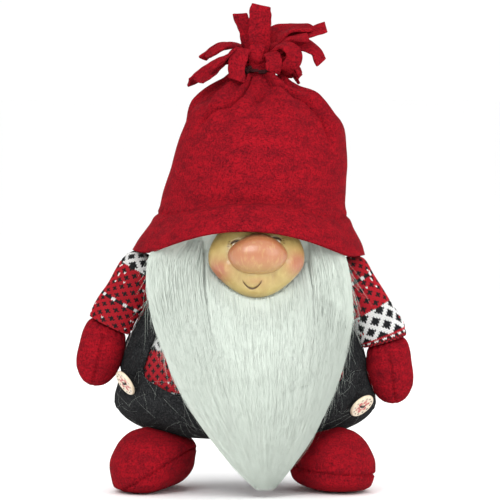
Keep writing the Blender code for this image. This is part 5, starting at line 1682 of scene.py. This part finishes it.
# %% Sleeves
SLEEVE_COLUMNS, SLEEVE_ROW, POINTS_PER_COLUMN = 60, 0.0013, 6
SLEEVE_SHAPE = [(0.30, -1.165), (0.56, -1.08), (0.78, -0.90), (0.93, -0.62), (0.99, -0.25), (1.0, 0.133)]
sleeve_line = [(0.0, -1.19 * ARM_RADIUS)] + [(w * ARM_RADIUS, d * ARM_RADIUS) for w, d in SLEEVE_SHAPE]
sleeve_line += [
    (ARM_RADIUS + 0.0006, 0.35 * SLEEVE_LENGTH), (ARM_RADIUS + 0.0012, 0.7 * SLEEVE_LENGTH),
    (ARM_RADIUS + 0.0016, SLEEVE_LENGTH - 0.004), (ARM_RADIUS + 0.0004, SLEEVE_LENGTH),
]
sleeve_line = even_line(smooth_line(sleeve_line), 262)
SLEEVE_BANDS = {
    "left": [
        (-20, WHITE_YARN, STAR_MOTIF),
        (18, RED_YARN, BLACK_MOTIF),
        (39, BLACK_YARN, [("Pairs", WHITE_YARN)]),
        (41, RED_YARN, BLACK_MOTIF),
    ],
    "right": [
        (-20, RED_YARN, BLACK_MOTIF),
        (21, BLACK_YARN, [("Pairs", WHITE_YARN)]),
        (23, RED_YARN, BLACK_MOTIF),
        (39, WHITE_YARN, STAR_MOTIF),
        (53, RED_YARN, []),
        (54, BLACK_YARN, [("Line Pairs", WHITE_YARN)]),
        (55, RED_YARN, [("Checks", BLACK_YARN)]),
    ],
}


def stitch_relief(column, row):
    """The same formula as the knit's node group: two rounded legs in each column, slanted into a V."""
    in_column = column % 1.0
    slanted = row + 1.6 * np.abs(in_column - 0.5)
    leg = np.sin(math.pi * ((2 * in_column) % 1.0))
    return np.clip(leg * np.sin(math.pi * (slanted % 1.0)), 0.0, 1.0) ** 0.55


for side in ("left", "right"):
    columns = SLEEVE_COLUMNS * POINTS_PER_COLUMN
    turn = (np.arange(columns) * 2 * math.pi / columns)[None]
    row = np.linspace(
        0.0, np.linalg.norm(np.diff(sleeve_line, axis=0), axis=1).sum() / SLEEVE_ROW, len(sleeve_line)
    )[:, None]
    column = np.arange(columns)[None] / POINTS_PER_COLUMN
    radius = sleeve_line[:, :1]
    down = sleeve_line[:, 1:]
    soft = smooth_step(0.0, 0.006, down + ARM_RADIUS)
    wrinkles = 0.0007 * waves(
        31 if side == "left" else 32, turn, (down + 0.015) / 0.06, 12, (0.6, 2.2)
    ) * soft
    relief = 0.00034 * stitch_relief(column, row) * soft
    cuff = -0.0007 * bell(
        down, SLEEVE_LENGTH - 0.0035, 0.0011
    ) + 0.0003 * np.cos(turn * 24) * smooth_step(0.042, 0.046, down)
    full = radius + (wrinkles + relief + cuff) * smooth_step(0.0, 0.004, radius)
    straight = np.stack(np.broadcast_arrays(full * np.cos(turn), full * np.sin(turn), down), axis=-1)
    uv = np.stack(np.broadcast_arrays(np.arange(columns + 1)[None] / POINTS_PER_COLUMN, row), axis=-1)
    knit = banded_knit(f"sleeve_knit_{side}", SLEEVE_BANDS[side])
    mesh = grid_mesh(f"sleeve_{side}_knit", hung(straight, side), uv)
    sleeve = add_piece(
        f"sleeve_{side}_knit", mesh, knit, f"arm_{side}",
        [f"sleeve_{side}", f"sleeve_stuffing_{side}"]
    )

# %% [markdown]
# ## Stuffed felt: mittens and boots
# A stuffed piece gets its shape from the filling that pushes on the cloth, and from the seam that holds it
# back. Here
# the cloth is a closed shape drawn nearly at its full size, with its seam pinned, and a cloth simulation lets
# the
# filling push it. At this size the push moves it by no more than about a tenth of a millimetre, so the
# roundness comes
# from the drawn outline and the subdivision. The seam's narrow valley is pressed in afterwards, because the
# remesh
# would lose it.

# %% Blow up a cloth shape
def blown_up(name, mesh, voxel, pressure, cap, pinned, frames=20):
    """Voxel remesh, pin the points that pinned() picks, run the cloth with pressure, cap each point's move, and
    apply the result with one subdivision."""
    shape = bpy.data.objects.new(name, mesh)
    bpy.context.scene.collection.objects.link(shape)
    remesh = shape.modifiers.new("Remesh", "REMESH")
    remesh.mode, remesh.voxel_size = "VOXEL", voxel
    bpy.context.view_layer.update()
    even = bpy.data.meshes.new_from_object(shape.evaluated_get(bpy.context.evaluated_depsgraph_get()))
    shape.modifiers.clear()
    shape.data = even
    start = np.zeros(len(even.vertices) * 3)
    even.vertices.foreach_get("co", start)
    start = start.reshape(-1, 3)
    group = shape.vertex_groups.new(name="pinned")
    group.add(np.nonzero(pinned(start))[0].tolist(), 1.0, "REPLACE")
    cloth = shape.modifiers.new("Cloth", "CLOTH")
    cloth.settings.quality, cloth.settings.mass = 6, 0.002
    cloth.settings.tension_stiffness = cloth.settings.compression_stiffness = 12.0
    cloth.settings.bending_stiffness = 0.4
    cloth.settings.use_pressure, cloth.settings.uniform_pressure_force = True, pressure
    cloth.settings.vertex_group_mass = group.name
    cloth.settings.effector_weights.gravity = 0.0
    for number in range(1, frames + 1):
        bpy.context.scene.frame_set(number)
    solved = bpy.data.meshes.new_from_object(shape.evaluated_get(bpy.context.evaluated_depsgraph_get()))
    bpy.context.scene.frame_set(1)
    moved = np.zeros(len(solved.vertices) * 3)
    solved.vertices.foreach_get("co", moved)
    move = moved.reshape(-1, 3) - start
    far = np.linalg.norm(move, axis=1, keepdims=True)
    start = start + move * np.minimum(1.0, cap / np.maximum(far, 1e-9))
    print(f"{name}: the filling moved the cloth by up to {1000 * far.max():.1f} mm")
    shape.modifiers.clear()
    shape.vertex_groups.clear()
    even.vertices.foreach_set("co", start.astype(np.float32).ravel())
    finer = shape.modifiers.new("Finer", "SUBSURF")
    finer.levels = finer.render_levels = 2
    bpy.context.view_layer.update()
    smooth = bpy.data.meshes.new_from_object(shape.evaluated_get(bpy.context.evaluated_depsgraph_get()))
    bpy.data.objects.remove(shape)
    points = np.zeros(len(smooth.vertices) * 3)
    smooth.vertices.foreach_get("co", points)
    normals = np.array([v.normal for v in smooth.vertices])
    return smooth, points.reshape(-1, 3), normals


def moved_copy(mesh, name, points, mirrored=False):
    """A copy of a mesh with new points, turned outwards again where it was mirrored."""
    copy = mesh.copy()
    copy.name = name
    copy.vertices.foreach_set("co", np.ascontiguousarray(points, np.float32).ravel())
    if mirrored:
        copy.flip_normals()
    copy.update()
    return copy


# %% [markdown]
# ### The mittens
# A mitten is two felt halves sewn down the middle of the front and over the tip. It is gathered to the wrist.
# It is
# made once, straight, and then bent along each arm.

# %% Mittens
MITTEN_SHAPE = [
    (0.0010, 0.191), (0.0016, 0.404), (0.0010, 0.617), (-0.0012, 0.798), (-0.0058, 0.932), (-0.0110, 0.9915)
]
mitten_line = [(0.0, 0.0450), (0.0085, 0.0452), (ARM_RADIUS - 0.0018, 0.0468)]
mitten_line += [(ARM_RADIUS + over + 0.0006, SLEEVE_LENGTH + share * MITTEN_LENGTH - 0.0006) for over, share in MITTEN_SHAPE]
mitten_line += [(0.0, SLEEVE_LENGTH + MITTEN_LENGTH - 0.0006)]
mitten_line = even_line(smooth_line(mitten_line, 6), 60)
turn = (np.arange(72) * 2 * math.pi / 72)[None]
straight = np.stack(np.broadcast_arrays(
    mitten_line[:, :1] * np.cos(turn), 0.95 * mitten_line[:, :1] * np.sin(turn), mitten_line[:, 1:]
), axis=-1)
mitten, points, normals = blown_up(
    "mitten_cloth", grid_mesh("mitten_cloth", straight), 0.0030, 60.0, 0.0016,
    lambda at: ((np.abs(at[:, 0]) < 0.0016) & (at[:, 2] > 0.055)) | (at[:, 2] < 0.0485),
)
on_side = 1 - smooth_step(0.087, 0.0920, points[:, 2])
draw_in = bell(points[:, 0], 0.0, 0.0011) * smooth_step(0.050, 0.056, points[:, 2]) * (0.35 + 0.65 * on_side)
puckers = 0.00040 * np.sin(points[:, 2] * 1900) * bell(points[:, 0], 0.0, 0.0035) * on_side
gathers = 0.0005 * np.sin(np.arctan2(points[:, 1], points[:, 0]) * 15) * bell(points[:, 2], 0.0475, 0.0045)
dents = 0.0005 * waves(61, np.arctan2(points[:, 1], points[:, 0]), points[:, 2] / 0.05, 10, (0.5, 2.0))
points = points + normals * (-0.0017 * draw_in + puckers + gathers + dents)[:, None]
for side in ("left", "right"):
    mesh = moved_copy(mitten, f"mitten_{side}_felt", hung(points, side), mirrored=side == "right")
    turn_outwards(mesh)
    hand = add_piece(
        f"mitten_{side}_felt", mesh, red_felt, f"arm_{side}",
        [f"mitten_{side}", f"mitten_stuffing_{side}"]
    )

# %% [markdown]
# ### The boots
# A boot is a round upper sewn to a stuffed sole. It is as long as it is plump, its toe points outwards, and
# the body
# sits on its back half. Both boots start as one shape, then each has its own seam and rolls
# outwards by its own amount.

# %% Boots
BOOT_CENTRES = {"left": (-0.0662, -0.026), "right": (0.0640, -0.026)}
BOOT_HALF_WIDTH, BOOT_HALF_LENGTH, BOOT_TOP, BOOT_SEAM = 0.0315, 0.0500, 0.0475, 0.0126
BOOT_SHAPE = [
    (0.0, 1.0), (0.28, 0.98), (0.55, 0.90), (0.80, 0.7135), (0.94, 0.4556), (1.0, 0.1834), (0.985, 0.0)
]
boot_line = [(share, BOOT_SEAM + up * (BOOT_TOP - BOOT_SEAM)) for share, up in BOOT_SHAPE]
boot_line += [(0.955, 0.556 * BOOT_SEAM), (0.87, 0.175 * BOOT_SEAM), (0.72, 0.0), (0.0, 0.0)]
boot_line = even_line(np.vstack([smooth_line(boot_line[:-1], 8), boot_line[-1]]), 90)
turn = (np.arange(96) * 2 * math.pi / 96)[None]
shrink = 0.0011
straight = np.stack(np.broadcast_arrays(
    boot_line[:, :1] * (BOOT_HALF_WIDTH - shrink) * np.cos(turn),
    boot_line[:, :1] * (BOOT_HALF_LENGTH - shrink) * np.sin(turn), boot_line[:, 1:] * 0.985 + 0.0003
), axis=-1)
boot, points, normals = blown_up(
    "boot_cloth", grid_mesh("boot_cloth", straight), 0.0040, 40.0, 0.0022,
    lambda at: ((np.abs(at[:, 2] - BOOT_SEAM) < 0.0022) & (np.hypot(at[:, 0] / BOOT_HALF_WIDTH, at[:, 1] / BOOT_HALF_LENGTH) > 0.85))
    | (at[:, 2] < 0.002),
)
rim = smooth_step(0.72, 0.86, np.hypot(points[:, 0] / BOOT_HALF_WIDTH, points[:, 1] / BOOT_HALF_LENGTH))
around = np.arctan2(points[:, 1] / BOOT_HALF_LENGTH, points[:, 0] / BOOT_HALF_WIDTH)
inner = -np.cos(around)
dents = 0.0007 * waves(
    71, around, points[:, 2] / 0.05, 12, (0.5, 2.0)
) * smooth_step(0.003, 0.014, points[:, 2])
BOOT_SEAMS = {
    "left": np.maximum(0.0010, 0.0085 + 0.0150 * inner), "right": 0.0125 + 0.0010 * inner + 0.0015 * inner**2
}
BOOT_LIFTS, TOE_LIFTS = {"left": 0.0190, "right": 0.0070}, {"left": 0.0015, "right": 0.0045}


def rolled_boot(side):
    """The seam is pressed in along its own height, with puckers on both sides of it. Then the boot rolls outwards and
    back: its inner side and its toe lift with powers of the shares across and along, most at the ground and not at the
    top."""
    seam = BOOT_SEAMS[side]
    press = -0.0017 * bell(points[:, 2], seam, 0.0011) * rim
    puckers = 0.00050 * np.sin(around * 58 + 2 * np.sin(around * 3)) * bell(points[:, 2], seam, 0.0042) * rim
    made = points + normals * (press + puckers + dents)[:, None]
    made[:, 2] = np.maximum(made[:, 2], 0.0)
    share = np.clip(1 - made[:, 2] / BOOT_TOP, 0.0, 1.0)
    made[:, 2] *= 0.975
    made[:, 2] += TOE_LIFTS[side] * np.clip(-made[:, 1] / BOOT_HALF_LENGTH, 0.0, 1.1) ** 2.5 * share
    made[:, 2] += BOOT_LIFTS[side] * np.clip(-made[:, 0] / BOOT_HALF_WIDTH, 0.0, 1.1) ** 2.2 * share
    return made


for side, sign in (("left", -1.0), ("right", 1.0)):
    swing = sign * math.radians(14)
    flat = rolled_boot(side) * np.array([sign, 1.0, 1.0])
    placed = np.stack([
        flat[:, 0] * math.cos(swing) - flat[:, 1] * math.sin(swing) + BOOT_CENTRES[side][0],
        flat[:, 0] * math.sin(swing) + flat[:, 1] * math.cos(swing) + BOOT_CENTRES[side][1],
        flat[:, 2],
    ], axis=-1) + MIDDLE
    mesh = moved_copy(boot, f"boot_{side}_felt", placed, mirrored=sign < 0)
    turn_outwards(mesh)
    foot = add_piece(
        f"boot_{side}_felt", mesh, red_felt, "figure",
        [f"boot_{part}_{side}" for part in ("upper", "sole", "stuffing", "insole")],
    )

# %% [markdown]
# ### Stray hairs
# Long fur sheds. Fine white hairs cling to the cloth; here they lie loosely on the wool of the overalls in shallow
# arcs. Each is a hair of the same make as the beard's, laid between two points close to the cloth.

# %% Stray hairs
def stray_hairs(seed, count):
    """Arcs on the overalls, as (hair, ring, 3): a start angle and height, a direction, and a slow bend."""
    draw = np.random.default_rng(seed)
    t = np.linspace(0.0, 1.0, RINGS)[None]
    angle = draw.uniform(math.radians(-178), math.radians(-2), count)[:, None]
    height = draw.uniform(0.044, 0.084, count)[:, None]
    reach = draw.uniform(0.010, 0.034, count)[:, None]
    way = draw.uniform(0, 6.28, count)[:, None] + draw.normal(0, 0.6, count)[:, None] * t
    d_angle = np.cumsum(np.cos(way) * reach / RINGS / 0.085, axis=1)
    d_height = np.cumsum(np.sin(way) * reach / RINGS, axis=1)
    angle, height = angle + d_angle, np.clip(height + d_height, 0.043, 0.088)
    share = share_at(height)
    path = body_at(share, angle, SEAM + 0.0010 + hip_flare(angle, height) + 0.0008 * np.sin(math.pi * t))
    radius = 0.000035 * np.ones((count, 1)) * (1 - 0.5 * t)
    facing = np.stack([np.cos(angle), np.sin(angle), 0 * angle], axis=-1)
    return path, radius, draw.uniform(0.4, 1.0, count), t, facing


mesh, shading = hair_mesh("stray_hairs", *stray_hairs(77, 90))
add_piece("stray_hairs", mesh, white_fur, "figure")

# %% [markdown]
# ## Ground
# The floor is a plain pale disc, wide enough that its edge is as good as the horizon.

# %% Floor
floor_material, wiring, inputs = new_material("pale_floor", 0.75)
speckle = wiring.noise(object_place(wiring), 40.0, 3.0)
wiring.give(inputs["Base Color"], wiring.mix(speckle, (0.98, 0.98, 0.98), (0.99, 0.99, 0.99)))
rings = np.array([0.0005, 0.3, 0.6, 1.2, 2.5, 5.0, 10.0, 20.0, 40.0])[:, None]
turn = (np.arange(64) * 2 * math.pi / 64)[None]
floor_points = np.stack([rings * np.cos(turn), rings * np.sin(turn), 0.0 * rings * turn], axis=-1)
floor_mesh = grid_mesh("floor", floor_points)
if floor_mesh.polygons[0].normal.z < 0:
    floor_mesh.flip_normals()
floor_mesh.shade_smooth()
floor = bpy.data.objects.new("floor", floor_mesh)
floor_mesh.materials.append(floor_material)
bpy.context.scene.collection.objects.link(floor)
